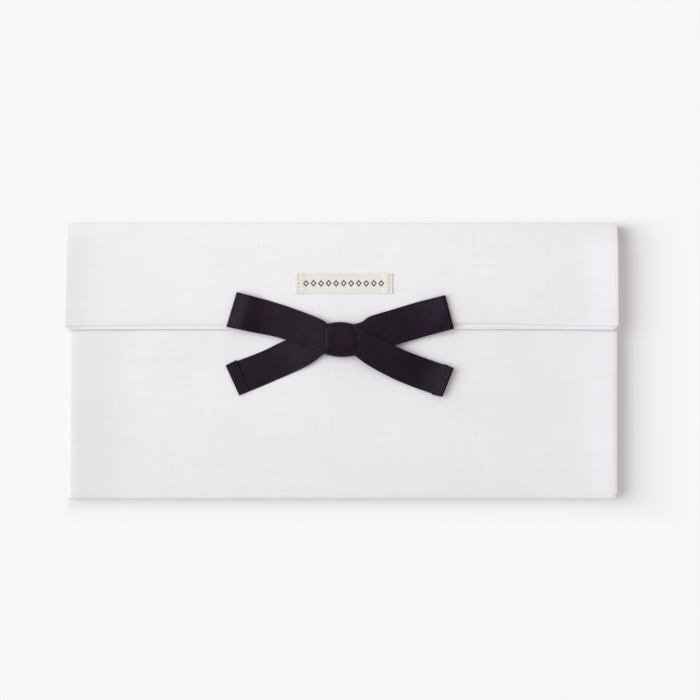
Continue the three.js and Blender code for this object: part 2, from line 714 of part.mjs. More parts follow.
// One named sub-part with a finish of its own
function add(name, solid, color, roughness) {
  const material = new THREE.MeshStandardMaterial({ color, roughness, metalness: 0 });
  const mesh = new THREE.Mesh(geometryOf(solid), material);
  mesh.name = name;
  pouch.add(mesh);
}

const COTTON = 0xefebee;
const COTTON_ROUGHNESS = 0.9;
const STIFFENER = 0xdedcd6;
const STIFFENER_ROUGHNESS = 0.95;
const LINING = 0xe9e6e4;
const LINING_ROUGHNESS = 0.8;
const BLACK_RIBBON = 0x2a232b;
const RIBBON_ROUGHNESS = 0.6;
const WHITE_THREAD = 0xf4f2f2;
const BLACK_THREAD = 0x1e191f;
const THREAD_ROUGHNESS = 0.7;
const LABEL_TAPE = 0xe8e4da;
const LABEL_ROUGHNESS = 0.85;

// The bag
add('back_panel_outer', backPanelOuter(), COTTON, COTTON_ROUGHNESS);
add('front_panel_outer', frontPanelOuter(), COTTON, COTTON_ROUGHNESS);
add('left_seam', sideSeam(-1), COTTON, COTTON_ROUGHNESS);
add('right_seam', sideSeam(1), COTTON, COTTON_ROUGHNESS);
add('bottom_seam', bottomSeam(), COTTON, COTTON_ROUGHNESS);
add(
  'back_interlining',
  panelInterlining(INTERLINING_LEVEL, INNER_ROOT_LINE),
  STIFFENER,
  STIFFENER_ROUGHNESS,
);
const frontStiffenerLevel = BODY_TOP - INTERLINING_LEVEL - INTERLINING;
const frontStiffenerTop = MOUTH - OUTER_CLOTH - PLY_GAP;
add(
  'front_interlining',
  panelInterlining(frontStiffenerLevel, frontStiffenerTop),
  STIFFENER,
  STIFFENER_ROUGHNESS,
);
add('back_lining', backLining(), LINING, LINING_ROUGHNESS);
add('front_lining', frontLining(), LINING, LINING_ROUGHNESS);
add('seam_thread', seamThread(), WHITE_THREAD, THREAD_ROUGHNESS);
add('mouth_thread', mouthThread(), WHITE_THREAD, THREAD_ROUGHNESS);
add('front_ribbon', frontRibbon(), BLACK_RIBBON, RIBBON_ROUGHNESS);
add('front_ribbon_thread', frontRibbonThread(), BLACK_THREAD, THREAD_ROUGHNESS);

// The strip at the top fold
add('fold_outer', foldOuter(), COTTON, COTTON_ROUGHNESS);
add('fold_lining', foldLining(), LINING, LINING_ROUGHNESS);

// The flap
add('flap_outer', flapOuter(), COTTON, COTTON_ROUGHNESS);
add('flap_interlining', flapInterlining(), STIFFENER, STIFFENER_ROUGHNESS);
add('flap_lining', flapLining(), LINING, LINING_ROUGHNESS);
add('flap_edge_thread', flapEdgeThread(), WHITE_THREAD, THREAD_ROUGHNESS);
add('flap_ribbon_end', flapRibbonEnd(), BLACK_RIBBON, RIBBON_ROUGHNESS);
add('label', labelTape(), LABEL_TAPE, LABEL_ROUGHNESS);
add('label_left_thread', labelThread(-1), WHITE_THREAD, THREAD_ROUGHNESS);
add('label_right_thread', labelThread(1), WHITE_THREAD, THREAD_ROUGHNESS);

// The bow
const rightLoopHigh = (share) => rightLoopLow(share) + LOOP_STEP;
add('bow_knot', bowKnot(), BLACK_RIBBON, RIBBON_ROUGHNESS);
add('knot_core', knotCore(), BLACK_RIBBON, RIBBON_ROUGHNESS);
add('left_tail_root', rootPly(LEFT_TAIL, leftTailHeight), BLACK_RIBBON, RIBBON_ROUGHNESS);
add('right_loop_root_upper', rootPly(RIGHT_LOOP, rightLoopHigh), BLACK_RIBBON, RIBBON_ROUGHNESS);
add('right_loop_root_lower', rootPly(RIGHT_LOOP, rightLoopLow), BLACK_RIBBON, RIBBON_ROUGHNESS);
add('left_loop', loopSolid(LEFT_LOOP, leftLoopLow), BLACK_RIBBON, RIBBON_ROUGHNESS);
add('right_loop', loopSolid(RIGHT_LOOP, rightLoopLow), BLACK_RIBBON, RIBBON_ROUGHNESS);
add('left_tail', tailSolid(LEFT_TAIL, leftTailHeight, PLY_STEP), BLACK_RIBBON, RIBBON_ROUGHNESS);
add('right_tail', tailSolid(RIGHT_TAIL, rightTailHeight, -PLY_STEP), BLACK_RIBBON, RIBBON_ROUGHNESS);
add('left_tail_thread', hemThread(LEFT_TAIL), BLACK_THREAD, THREAD_ROUGHNESS);
add('right_tail_thread', hemThread(RIGHT_TAIL), BLACK_THREAD, THREAD_ROUGHNESS);

export default pouch;
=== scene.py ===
# %% [markdown]
# # A white cotton pouch tied with a black ribbon bow
#
# The object is a flat envelope pouch, sewn from cotton canvas over felt and lined with fine cotton. Its
# back turns over at the top and comes down the front as a flap. A black ribbon is tied in a bow over the
# flap's edge, and a small woven label sits above it.
#
# Soft goods like this could be cloth simulations, but a pouch that lies pressed flat hardly moves: what
# the eye reads is where each sheet turns, how its edges swell over the seams, and what the light does on
# the weave. So every sheet here is drawn as a grid of points on the curve that the real cloth follows.

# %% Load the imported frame
import math
import bpy
import numpy as np
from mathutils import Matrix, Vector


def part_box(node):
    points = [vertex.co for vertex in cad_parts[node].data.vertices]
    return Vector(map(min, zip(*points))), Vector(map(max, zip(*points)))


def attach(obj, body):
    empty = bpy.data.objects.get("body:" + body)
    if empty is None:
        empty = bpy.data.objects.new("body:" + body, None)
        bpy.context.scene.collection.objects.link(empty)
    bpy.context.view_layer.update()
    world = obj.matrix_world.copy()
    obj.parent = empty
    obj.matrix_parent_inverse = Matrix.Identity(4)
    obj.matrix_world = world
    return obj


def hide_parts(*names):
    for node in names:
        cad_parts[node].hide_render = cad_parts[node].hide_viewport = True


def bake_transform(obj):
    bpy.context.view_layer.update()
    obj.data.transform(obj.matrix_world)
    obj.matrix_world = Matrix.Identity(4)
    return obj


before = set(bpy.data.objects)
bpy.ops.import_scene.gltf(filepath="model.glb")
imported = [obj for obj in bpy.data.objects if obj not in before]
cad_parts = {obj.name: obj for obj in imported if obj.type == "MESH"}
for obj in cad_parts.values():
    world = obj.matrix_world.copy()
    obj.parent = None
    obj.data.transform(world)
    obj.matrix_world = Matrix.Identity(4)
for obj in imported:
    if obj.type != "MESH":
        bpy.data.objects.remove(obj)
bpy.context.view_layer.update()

# %% [markdown]
# ## The levels that the cloth lies at
#
# The solids of the frame say where each ply is. Everything below is worked out in millimetres from their
# boxes, because thread, ribbon and cloth are bought and sewn in millimetres, and a mesh is scaled to
# metres only when it is made.

# %% Levels of the plies
MM = 0.001


def solid_box(node):
    """Lowest and highest corner of a solid, in millimetres"""
    low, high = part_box(node)
    return np.array(low) / MM, np.array(high) / MM


flap_low, flap_high = solid_box("flap_outer")
seam_low, _ = solid_box("left_seam")
FOLD_SIDE, FOLD_FACE, FLAP_FACE = solid_box("fold_outer")[1]
_, MOUTH, FRONT_FACE = solid_box("front_panel_outer")[1]

BAG_SIDE = -seam_low[0]
BAG_BOTTOM = seam_low[1]
SEAM = FRONT_FACE / 2
FLAP_EDGE = flap_low[1]
FLAP_SIDE = flap_high[0]
CANVAS = 0.5
FELT = 0.5
LINING = 0.3
PLY_GAP = 0.1
print("front face at", FRONT_FACE, "flap face at", FLAP_FACE, "mouth at", MOUTH, "flap edge at", FLAP_EDGE)

# %% [markdown]
# ## How a sheet of cloth is made
#
# A sheet could be a flat plane with a Solidify modifier. Here it is built straight from its grid: an
# outer face, an inner face one thickness below it, and a rounded rim between them, so that a cut edge
# catches the light as real cloth does, and the piece is one closed mesh that can bend later.
#
# The grid's lengths are measured along the cloth and kept as its UV map, 100 mm to one unit. The weave
# then follows the cloth round every fold and stays with it when a pose bends it.

# %% A closed sheet from a grid of points
UV_LENGTH = 100.0
RIM_SWELL = 0.35


def face_normals(grid, ring):
    """Unit normals of a grid of points, its columns to the right and its rows upwards"""
    along = np.roll(grid, -1, 0) - np.roll(grid, 1, 0) if ring else np.gradient(grid, axis=0)
    across = np.gradient(grid, axis=1)
    normal = np.cross(across, along)
    return normal / np.linalg.norm(normal, axis=2, keepdims=True)


def flat_lengths(grid):
    """Where each point lies on the flat cloth, measured along its columns and rows"""
    steps_across = np.linalg.norm(np.diff(grid, axis=1), axis=2)
    steps_along = np.linalg.norm(np.diff(grid, axis=0), axis=2)
    u = np.concatenate([np.zeros((len(grid), 1)), np.cumsum(steps_across, 1)], 1)
    v = np.concatenate([np.zeros((1, grid.shape[1])), np.cumsum(steps_along, 0)], 0)
    return u - u[:, -1:] / 2, v


def border_loops(index, ring):
    """The border points in order, with the cloth on their left"""
    if ring:
        return [index[:, -1], index[::-1, 0]]
    edges = [index[0, :-1], index[:-1, -1], index[-1, :0:-1], index[:0:-1, 0]]
    return [np.concatenate(edges)]


def sheet_mesh(name, grid, thickness, material, ring=False, shift=0.0):
    """One closed sheet; shift moves its outer face out by a share of the thickness"""
    rows, columns, _ = grid.shape
    normal = face_normals(grid, ring)
    outer = grid + normal * thickness * shift
    inner = outer - normal * thickness
    index = np.arange(rows * columns).reshape(rows, columns)
    after = np.roll(index, -1, 0) if ring else index[1:]
    here = index if ring else index[:-1]
    quads = np.stack([here[:, :-1], here[:, 1:], after[:, 1:], after[:, :-1]], -1).reshape(-1, 4)
    count = rows * columns
    faces = [quads, quads[:, ::-1] + count]
    u, v = flat_lengths(grid)
    flat = np.stack([u, v], -1).reshape(-1, 2)
    points = [outer.reshape(-1, 3), inner.reshape(-1, 3)]
    flats = [flat, flat]
    total = 2 * count
    for loop in border_loops(index, ring):
        edge_outer = points[0][loop]
        edge_inner = points[1][loop]
        tangent = np.roll(edge_outer, -1, 0) - np.roll(edge_outer, 1, 0)
        away = np.cross(tangent, normal.reshape(-1, 3)[loop])
        away /= np.maximum(np.linalg.norm(away, axis=1, keepdims=True), 1e-9)
        points.append((edge_outer + edge_inner) / 2 + away * thickness * RIM_SWELL)
        flats.append(flat[loop])
        middle = total + np.arange(len(loop))
        total += len(loop)
        beyond = np.roll(loop, -1)
        middle_beyond = np.roll(middle, -1)
        faces.append(np.stack([loop, middle, middle_beyond, beyond], -1))
        faces.append(np.stack([middle, loop + count, beyond + count, middle_beyond], -1))
    return mesh_piece(name, np.concatenate(points), np.concatenate(faces), material, np.concatenate(flats))


def mesh_piece(name, points, faces, material, flat=None, sharp=40):
    """A mesh object from points in millimetres"""
    mesh = bpy.data.meshes.new(name)
    mesh.from_pydata((points * MM).tolist(), [], [list(map(int, face)) for face in faces])
    if flat is not None:
        corners = np.empty(len(mesh.loops), np.int32)
        mesh.loops.foreach_get("vertex_index", corners)
        mesh.uv_layers.new(name="cloth").data.foreach_set("uv", (flat[corners] / UV_LENGTH).ravel())
    mesh.shade_smooth()
    mesh.set_sharp_from_angle(angle=math.radians(sharp))
    mesh.materials.append(material)
    piece = bpy.data.objects.new(name, mesh)
    bpy.context.scene.collection.objects.link(piece)
    return piece


# %% [markdown]
# Each finished piece is handed over to the frame: it rides on a body, or has its place baked into its mesh
# where it lies between two, and the plain solids that it replaces are hidden.

# %% Hand a piece over to the frame
def hand_over(piece, body, slot, *solids):
    """The piece rides on the body and hides the solids that it replaces; the slot is not used"""
    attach(piece, body)
    stand_for(piece, slot, *solids)


def bend_over(piece, bend, slot, *solids):
    """The piece's transform is baked into its mesh and the solids are hidden; the bend, both bodies and then
    its start and end in millimetres, is not used
    """
    first, second, *ends = bend
    start, end = [[value * MM for value in point] for point in ends]
    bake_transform(piece)
    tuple(start)
    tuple(end)
    stand_for(piece, slot, *solids)


def stand_for(piece, slot, *solids):
    """The piece takes the place of the solids, which are hidden; the slot is not used"""
    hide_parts(*solids)


# %% [markdown]
# ## The camera
#
# The photograph looks straight down. A lens of 85 mm at three quarters of a metre is what a product
# photographer would use for a thing this size, and it shows 317 mm across at the pouch's face.

# %% Camera straight above the pouch
VIEW_WIDTH = 317.0
LENS = 85.0
SENSOR = 36.0
VIEW_CENTRE = (3.6, 5.0)
VIEW_LEVEL = 8.0
distance = VIEW_WIDTH * LENS / SENSOR

camera_data = bpy.data.cameras.new("camera")
camera_data.lens = LENS
camera_data.sensor_width = SENSOR
camera = bpy.data.objects.new("camera", camera_data)
camera.location = (VIEW_CENTRE[0] * MM, VIEW_CENTRE[1] * MM, (VIEW_LEVEL + distance) * MM)
bpy.context.scene.collection.objects.link(camera)
bpy.context.scene.camera = camera
print("camera", round(distance), "mm above the pouch")

# %% [markdown]
# ## Light
#
# The photograph has a large window on the left: it throws the soft shadow on the right and makes the
# left edges bright. A sun lamp with a wide disc gives that shadow at one level across the pouch. The
# pouch also gets slowly darker from its upper left to its lower right, as it does under a lamp that hangs
# near. So a second, square lamp hangs over its upper left. The rest is the room's own light: the world is
# a little warm beside the cool window, which tints the shadow.

# %% Window light and near lamp
WINDOW_HEIGHT = 42
WINDOW_TURN = 3
WINDOW_SPREAD = 46
WINDOW_LEVEL = 0.35
WINDOW_COLOUR = (0.91, 1.0, 1.03)
LAMP_PLACE = (-60.0, 150.0, 280.0)
LAMP_SIDE = 180.0
LAMP_LEVEL = 0.12
WORLD_LEVEL = 0.6

sun_data = bpy.data.lights.new("window_light", "SUN")
sun_data.angle = math.radians(WINDOW_SPREAD)
sun_data.energy = WINDOW_LEVEL * math.pi / math.sin(math.radians(WINDOW_HEIGHT))
sun_data.color = WINDOW_COLOUR
sun = bpy.data.objects.new("window_light", sun_data)
sun.rotation_euler = (0, -math.radians(90 - WINDOW_HEIGHT), -math.radians(WINDOW_TURN))
bpy.context.scene.collection.objects.link(sun)

lamp_distance = math.hypot(*LAMP_PLACE) * MM
lamp_data = bpy.data.lights.new("near_lamp", "AREA")
lamp_data.size = LAMP_SIDE * MM
lamp_data.energy = LAMP_LEVEL * math.pi**2 * lamp_distance**4 / (LAMP_PLACE[2] * MM) ** 2
lamp = bpy.data.objects.new("near_lamp", lamp_data)
lamp.location = [value * MM for value in LAMP_PLACE]
lamp.visible_camera = False
bpy.context.scene.collection.objects.link(lamp)
print("a white face in the middle gets", WINDOW_LEVEL + LAMP_LEVEL + WORLD_LEVEL, "of full light")

# %% [markdown]
# ## Colours and nodes
#
# Colours are picked as sRGB hex values, the way that they look on a screen, and one function turns them
# to the linear values that the shader works with. One more adds a node with its settings and links, and
# two short ones start a material and finish it.

# %% Colour and node helpers
def linear(hex_colour):
    """A hex colour as linear red, green, blue and alpha"""
    values = [int(hex_colour[place:place + 2], 16) / 255 for place in (1, 3, 5)]
    return (*[v / 12.92 if v <= 0.04045 else ((v + 0.055) / 1.055) ** 2.4 for v in values], 1.0)


def add_node(tree, kind, settings=None, links=None):
    """Adds a node; settings are its properties or sockets, links are the nodes or outputs that go in"""
    made = tree.nodes.new(kind)
    for name, value in (settings or {}).items():
        if isinstance(name, str) and hasattr(made, name):
            setattr(made, name, value)
        else:
            made.inputs[name].default_value = value
    for name, source in (links or {}).items():
        tree.links.new(source.outputs[0] if hasattr(source, "outputs") else source, made.inputs[name])
    return made


def new_material(name):
    """An empty node material, its tree and its shader"""
    material = bpy.data.materials.new(name)
    material.use_nodes = True
    return material, material.node_tree, material.node_tree.nodes["Principled BSDF"]


def finish(tree, shader, colour, bump_node, constants):
    """The shader gets its colour, its bumps and its constants"""
    tree.links.new(colour.outputs[2], shader.inputs["Base Color"])
    if bump_node:
        tree.links.new(bump_node.outputs[0], shader.inputs["Normal"])
    for socket, value in constants.items():
        shader.inputs[socket].default_value = value


# %% [markdown]
# The world is weak as a light but is seen as the pale wall of a studio: Light Path tells a camera ray
# from a ray that carries light, and mixes the two levels.

# %% World
WALL_COLOUR = linear("#F8F8F8")
ROOM_COLOUR = (1.0, 0.94, 0.92, 1.0)


def seen_background(tree):
    """1 for the rays that show a background: seen straight, mirrored or through something clear"""
    ray = add_node(tree, "ShaderNodeLightPath")
    seen = ray.outputs["Is Camera Ray"]
    for kind in ("Is Glossy Ray", "Is Transmission Ray"):
        seen = add_node(tree, "ShaderNodeMath", {"operation": "MAXIMUM"}, {0: seen, 1: ray.outputs[kind]})
    return seen


world = bpy.data.worlds.new("white_room")
world.use_nodes = True
tree = world.node_tree
fill = tree.nodes["Background"]
fill.inputs["Color"].default_value = ROOM_COLOUR
fill.inputs["Strength"].default_value = WORLD_LEVEL
wall = add_node(tree, "ShaderNodeBackground", {"Color": WALL_COLOUR, "Strength": 1.0})
room = add_node(tree, "ShaderNodeMixShader", links={0: seen_background(tree), 1: fill, 2: wall})
tree.links.new(room.outputs[0], tree.nodes["World Output"].inputs["Surface"])
bpy.context.scene.world = world
bpy.context.scene.view_settings.view_transform = "Standard"

# %% [markdown]
# ## Materials
#
# Every woven thing here shares one pattern: where warp and weft cross, the surface rises and dips like a
# chequerboard of small bumps. Two sine waves multiplied give that. The position comes from the cloth's
# own UV map, turned back to millimetres, and the two pitches are the spacings of the threads.

# %% The weave that all the fabrics share
def cloth_position(tree):
    """The point on the flat cloth, in millimetres, as x, y and both together"""
    uv = add_node(tree, "ShaderNodeUVMap", {"uv_map": "cloth"})
    scaled = add_node(tree, "ShaderNodeVectorMath", {"operation": "SCALE", "Scale": UV_LENGTH}, {0: uv})
    parts = add_node(tree, "ShaderNodeSeparateXYZ", links={0: scaled})
    return parts.outputs["X"], parts.outputs["Y"], scaled


def wave(tree, along, pitch):
    """A sine wave with the given pitch in millimetres"""
    turns = add_node(tree, "ShaderNodeMath", {"operation": "MULTIPLY", 1: 2 * math.pi / pitch}, {0: along})
    return add_node(tree, "ShaderNodeMath", {"operation": "SINE"}, {0: turns})


def plain_weave(tree, x, y, warp_pitch, weft_pitch):
    """Bumps where the threads cross, from -1 to 1"""
    waves = {0: wave(tree, x, 2 * warp_pitch), 1: wave(tree, y, 2 * weft_pitch)}
    return add_node(tree, "ShaderNodeMath", {"operation": "MULTIPLY"}, waves)


def streaks(tree, position, across, along, seed):
    """Noise drawn out into streaks: its grain is across millimetres wide and along millimetres long"""
    stretch = {"operation": "MULTIPLY_ADD", 1: (1 / across, 1 / along, 1), 2: (seed, seed, seed)}
    place = add_node(tree, "ShaderNodeVectorMath", stretch, {0: position})
    grain = {"Scale": 1.0, "Detail": 2.0, "Roughness": 0.5}
    return add_node(tree, "ShaderNodeTexNoise", grain, {"Vector": place})


# %% [markdown]
# ### Cotton canvas
#
# The bag and the flap are bleached cotton canvas, plain woven and washed. It is matt and almost white,
# with a hint of lavender. Its yarns are spun unevenly, so thicker slubs show as faint streaks along
# warp and weft. The true yarn spacing of 0.5 mm is finer than a pixel of the view, so it is drawn at
# 0.9 mm, and the slubs are a millimetre wide and some tens long.

# %% Material: bleached cotton canvas
CANVAS_PITCH = 0.9
canvas, tree, shader = new_material("bleached_cotton_canvas")
x, y, position = cloth_position(tree)
crossings = plain_weave(tree, x, y, CANVAS_PITCH, CANVAS_PITCH)
warp_slubs = streaks(tree, position, 1.1, 26, 3.1)
weft_slubs = streaks(tree, position, 22, 1.0, 8.7)
slubs = add_node(tree, "ShaderNodeMath", {"operation": "ADD"}, {0: warp_slubs, 1: weft_slubs})
clouds = streaks(tree, position, 34, 30, 5.3)
shade = add_node(tree, "ShaderNodeMath", {"operation": "MULTIPLY_ADD", 1: 0.7}, {0: slubs, 2: clouds})
tint = add_node(tree, "ShaderNodeMapRange", {"From Min": 0.8, "From Max": 1.6}, {"Value": shade})
tints = {"data_type": "RGBA", 6: linear("#E6E3E7"), 7: linear("#ECEAEE")}
colour = add_node(tree, "ShaderNodeMix", tints, {0: tint})
slub_bump = add_node(tree, "ShaderNodeBump", {"Strength": 0.35, "Distance": 0.1 * MM}, {"Height": slubs})
heights = {"Height": crossings, "Normal": slub_bump}
weave_bump = add_node(tree, "ShaderNodeBump", {"Strength": 0.35, "Distance": 0.05 * MM}, heights)
matt = {"Roughness": 0.92, "Sheen Weight": 0.1, "Sheen Roughness": 0.5, "Specular IOR Level": 0.25}
finish(tree, shader, colour, weave_bump, matt)
print("canvas yarns drawn", CANVAS_PITCH, "mm apart")

# %% [markdown]
# ### Cotton lining
#
# The lining is a finer cotton, mercerised, which gives it a slightly smoother and brighter face than the
# canvas. Its threads are a third of a millimetre apart and drawn at 0.6 mm.

# %% Material: fine cotton lining
LINING_PITCH = 0.6
lining_cotton, tree, shader = new_material("mercerised_cotton_lining")
x, y, position = cloth_position(tree)
crossings = plain_weave(tree, x, y, LINING_PITCH, LINING_PITCH)
tints = {"data_type": "RGBA", 6: linear("#E4E0DD"), 7: linear("#EFECE9")}
colour = add_node(tree, "ShaderNodeMix", tints, {0: streaks(tree, position, 0.8, 18, 11.9)})
weave_bump = add_node(tree, "ShaderNodeBump", {"Strength": 0.4, "Distance": 0.03 * MM}, {"Height": crossings})
finish(tree, shader, colour, weave_bump, {"Roughness": 0.78, "Sheen Weight": 0.15, "Sheen Roughness": 0.4})

# %% [markdown]
# ### Felt
#
# The stiffening ply is needle-punched felt: short fibres matted in every direction, so it has no weave.
# Two sizes of noise stand for the tangle and its thin places.

# %% Material: needle-punched felt
felt, tree, shader = new_material("needle_punched_felt")
_, _, position = cloth_position(tree)
tangle = streaks(tree, position, 0.7, 0.7, 2.2)
thin_places = streaks(tree, position, 5, 4, 6.6)
mixed = add_node(tree, "ShaderNodeMath", {"operation": "MULTIPLY"}, {0: tangle, 1: thin_places})
tint = add_node(tree, "ShaderNodeMapRange", {"From Min": 0.1, "From Max": 0.45}, {"Value": mixed})
tints = {"data_type": "RGBA", 6: linear("#CFCCC4"), 7: linear("#E4E2DC")}
colour = add_node(tree, "ShaderNodeMix", tints, {0: tint})
fuzz = add_node(tree, "ShaderNodeBump", {"Strength": 0.7, "Distance": 0.15 * MM}, {"Height": tangle})
finish(tree, shader, colour, fuzz, {"Roughness": 0.97, "Sheen Weight": 0.3, "Sheen Roughness": 0.6})

# %% [markdown]
# ### Black ribbon
#
# The bow is woven ribbon dyed black, with fine ribs across its width and a soft sheen along it. The dye
# is never quite black: on screen it is a dark plum grey. The ribs are 0.4 mm apart on the real thing and
# drawn at 0.8 mm. The selvedge, the last half millimetre on each side, is packed tighter and stands a
# little proud.

# %% Material: black woven ribbon
RIB_PITCH = 0.8
WARP_PITCH = 0.9
RIBBON_WIDTH = 15.0
SELVEDGE = RIBBON_WIDTH / 2 - 0.8
ribbon_black, tree, shader = new_material("black_woven_ribbon")
x, y, position = cloth_position(tree)
warp = wave(tree, x, WARP_PITCH)
both = {0: warp, 2: wave(tree, y, RIB_PITCH)}
ribbed = add_node(tree, "ShaderNodeMath", {"operation": "MULTIPLY_ADD", 1: 0.35}, both)
from_middle = add_node(tree, "ShaderNodeMath", {"operation": "ABSOLUTE"}, {0: x})
edge_rise = {"From Min": SELVEDGE, "From Max": SELVEDGE + 0.4, "To Max": 2.0}
selvedge = add_node(tree, "ShaderNodeMapRange", edge_rise, {"Value": from_middle})
raised = add_node(tree, "ShaderNodeMath", {"operation": "ADD"}, {0: ribbed, 1: selvedge})
lint = streaks(tree, position, 1.2, 1.6, 4.4)
dye = streaks(tree, position, 9, 14, 9.4)
uneven = add_node(tree, "ShaderNodeMath", {"operation": "MULTIPLY"}, {0: lint, 1: dye})
tint = add_node(tree, "ShaderNodeMapRange", {"From Min": 0.12, "From Max": 0.42}, {"Value": uneven})
tints = {"data_type": "RGBA", 6: linear("#0C040D"), 7: linear("#1A0B1C")}
colour = add_node(tree, "ShaderNodeMix", tints, {0: tint})
rib_bump = add_node(tree, "ShaderNodeBump", {"Strength": 0.6, "Distance": 0.05 * MM}, {"Height": raised})
satin = {
    "Roughness": 0.33,
    "Specular IOR Level": 0.13,
    "Specular Tint": linear("#FFEFFF"),
    "Sheen Weight": 0.01,
    "Sheen Roughness": 0.35,
    "Sheen Tint": linear("#B9B0BE"),
}
finish(tree, shader, colour, rib_bump, satin)
print("ribs drawn", RIB_PITCH, "mm apart")

# %% [markdown]
# ### Sewing thread
#
# Polyester thread is two or three plies twisted together, so each stitch shows slanted bands with a small
# highlight on every ply. A wave along the stitch, bent by its width, draws the twist: it raises the plies as
# a bump, and the same wave also paints the colour, from painted shade between the plies to a painted
# highlight on their crests.

# %% Materials: white, black and ecru polyester thread
PLY_TWIST = 0.7


def twisted_thread(name, shaded_tone, highlight_tone):
    """A twisted thread: slanted bands from painted shade between the plies to a painted highlight on them"""
    material, tree, shader = new_material(name)
    across, along, _ = cloth_position(tree)
    slant = add_node(tree, "ShaderNodeMath", {"operation": "MULTIPLY_ADD", 1: 0.8}, {0: across, 2: along})
    bands = wave(tree, slant, PLY_TWIST)
    share = add_node(tree, "ShaderNodeMapRange", {"From Min": -1.0, "From Max": 1.0}, {"Value": bands})
    # Painted shade and highlight: the darker tone lies between the plies and the paler one on their crests
    tints = {"data_type": "RGBA", 6: linear(shaded_tone), 7: linear(highlight_tone)}
    colour = add_node(tree, "ShaderNodeMix", tints, {0: share})
    twist = add_node(tree, "ShaderNodeBump", {"Strength": 0.5, "Distance": 0.05 * MM}, {"Height": bands})
    finish(tree, shader, colour, twist, {"Roughness": 0.5, "Specular IOR Level": 0.15})
    return material


white_thread = twisted_thread("white_polyester_thread", "#DEDADD", "#F4F2F4")
black_thread = twisted_thread("black_polyester_thread", "#100C11", "#282029")
ecru_thread = twisted_thread("ecru_polyester_thread", "#A8987C", "#D2C3A6")

# %% [markdown]
# ### Woven label
#
# The label is damask tape in cream: a satin ground with a tight rib along both long edges. Damask shows
# its motif by letting the other thread float on top. The motif here is a plain row of lozenges in
# charcoal outline.

# %% Material: cream damask tape
LABEL_HALF_HEIGHT = 4.6
LOZENGE_PITCH = 3.4
LOZENGE_ROW = 5.5 * LOZENGE_PITCH
LOZENGE_SLANT = 1.15
LOZENGE_OUTLINE = 1.2
damask, tree, shader = new_material("cream_damask_tape")
x, y, position = cloth_position(tree)
crossings = plain_weave(tree, x, y, 0.5, 0.45)
tints = {"data_type": "RGBA", 6: linear("#DAD6D0"), 7: linear("#E8E4E0")}
ground = add_node(tree, "ShaderNodeMix", tints, {0: streaks(tree, position, 14, 0.6, 7.7)})
centred = add_node(tree, "ShaderNodeMath", {"operation": "SUBTRACT", 1: LABEL_HALF_HEIGHT}, {0: y})
up = add_node(tree, "ShaderNodeMath", {"operation": "ABSOLUTE"}, {0: centred})
aside = add_node(tree, "ShaderNodeMath", {"operation": "ABSOLUTE"}, {0: x})
place = add_node(tree, "ShaderNodeMath", {"operation": "PINGPONG", 1: LOZENGE_PITCH / 2}, {0: x})
slant = {"operation": "MULTIPLY_ADD", 1: LOZENGE_SLANT}
lozenge = add_node(tree, "ShaderNodeMath", slant, {0: place, 2: up})
off = add_node(tree, "ShaderNodeMath", {"operation": "SUBTRACT", 1: LOZENGE_OUTLINE}, {0: lozenge})
away = add_node(tree, "ShaderNodeMath", {"operation": "ABSOLUTE"}, {0: off})
outline = add_node(tree, "ShaderNodeMapRange", {"From Min": 0.55, "From Max": 0.3}, {"Value": away})
in_row = add_node(tree, "ShaderNodeMath", {"operation": "LESS_THAN", 1: LOZENGE_ROW}, {0: aside})
motif = add_node(tree, "ShaderNodeMath", {"operation": "MULTIPLY"}, {0: outline, 1: in_row})
charcoal = {"data_type": "RGBA", 7: linear("#453F42")}
colour = add_node(tree, "ShaderNodeMix", charcoal, {0: motif, 6: ground.outputs[2]})
border_rise = {"From Min": LABEL_HALF_HEIGHT - 0.9, "From Max": LABEL_HALF_HEIGHT - 0.7, "To Max": 1.6}
border = add_node(tree, "ShaderNodeMapRange", border_rise, {"Value": up})
relief = add_node(tree, "ShaderNodeMath", {"operation": "ADD"}, {0: crossings, 1: border})
relief = add_node(tree, "ShaderNodeMath", {"operation": "MULTIPLY_ADD", 1: 1.5}, {0: motif, 2: relief})
tape_bump = add_node(tree, "ShaderNodeBump", {"Strength": 0.6, "Distance": 0.05 * MM}, {"Height": relief})
finish(tree, shader, colour, tape_bump, {"Roughness": 0.7, "Sheen Weight": 0.1})

# %% [markdown]
# ## The floor
#
# A smooth white table. Its colour is the pale grey of the photograph's ground, and a very slight grain
# keeps it from looking like empty space where the shadow falls. The photograph's ground is one even grey
# away from the pouch, as a retoucher makes it. So a plain glow of that grey fades in around the footprint:
# over 7 mm on the lit sides, over 14 mm below and over 33 mm on the right, where the shadow falls. It is
# there only for the rays that show the ground.

# %% Material and floor: matt white laminate
laminate, tree, shader = new_material("matt_white_laminate")
floor_place = add_node(tree, "ShaderNodeTexCoord").outputs["Object"]
grain = add_node(tree, "ShaderNodeTexNoise", {"Scale": 900.0, "Detail": 2.0}, {"Vector": floor_place})
tints = {"data_type": "RGBA", 6: linear("#EEEEEE"), 7: linear("#F1F1F1")}
colour = add_node(tree, "ShaderNodeMix", tints, {0: grain})
finish(tree, shader, colour, None, {"Roughness": 0.9, "Specular IOR Level": 0.0})

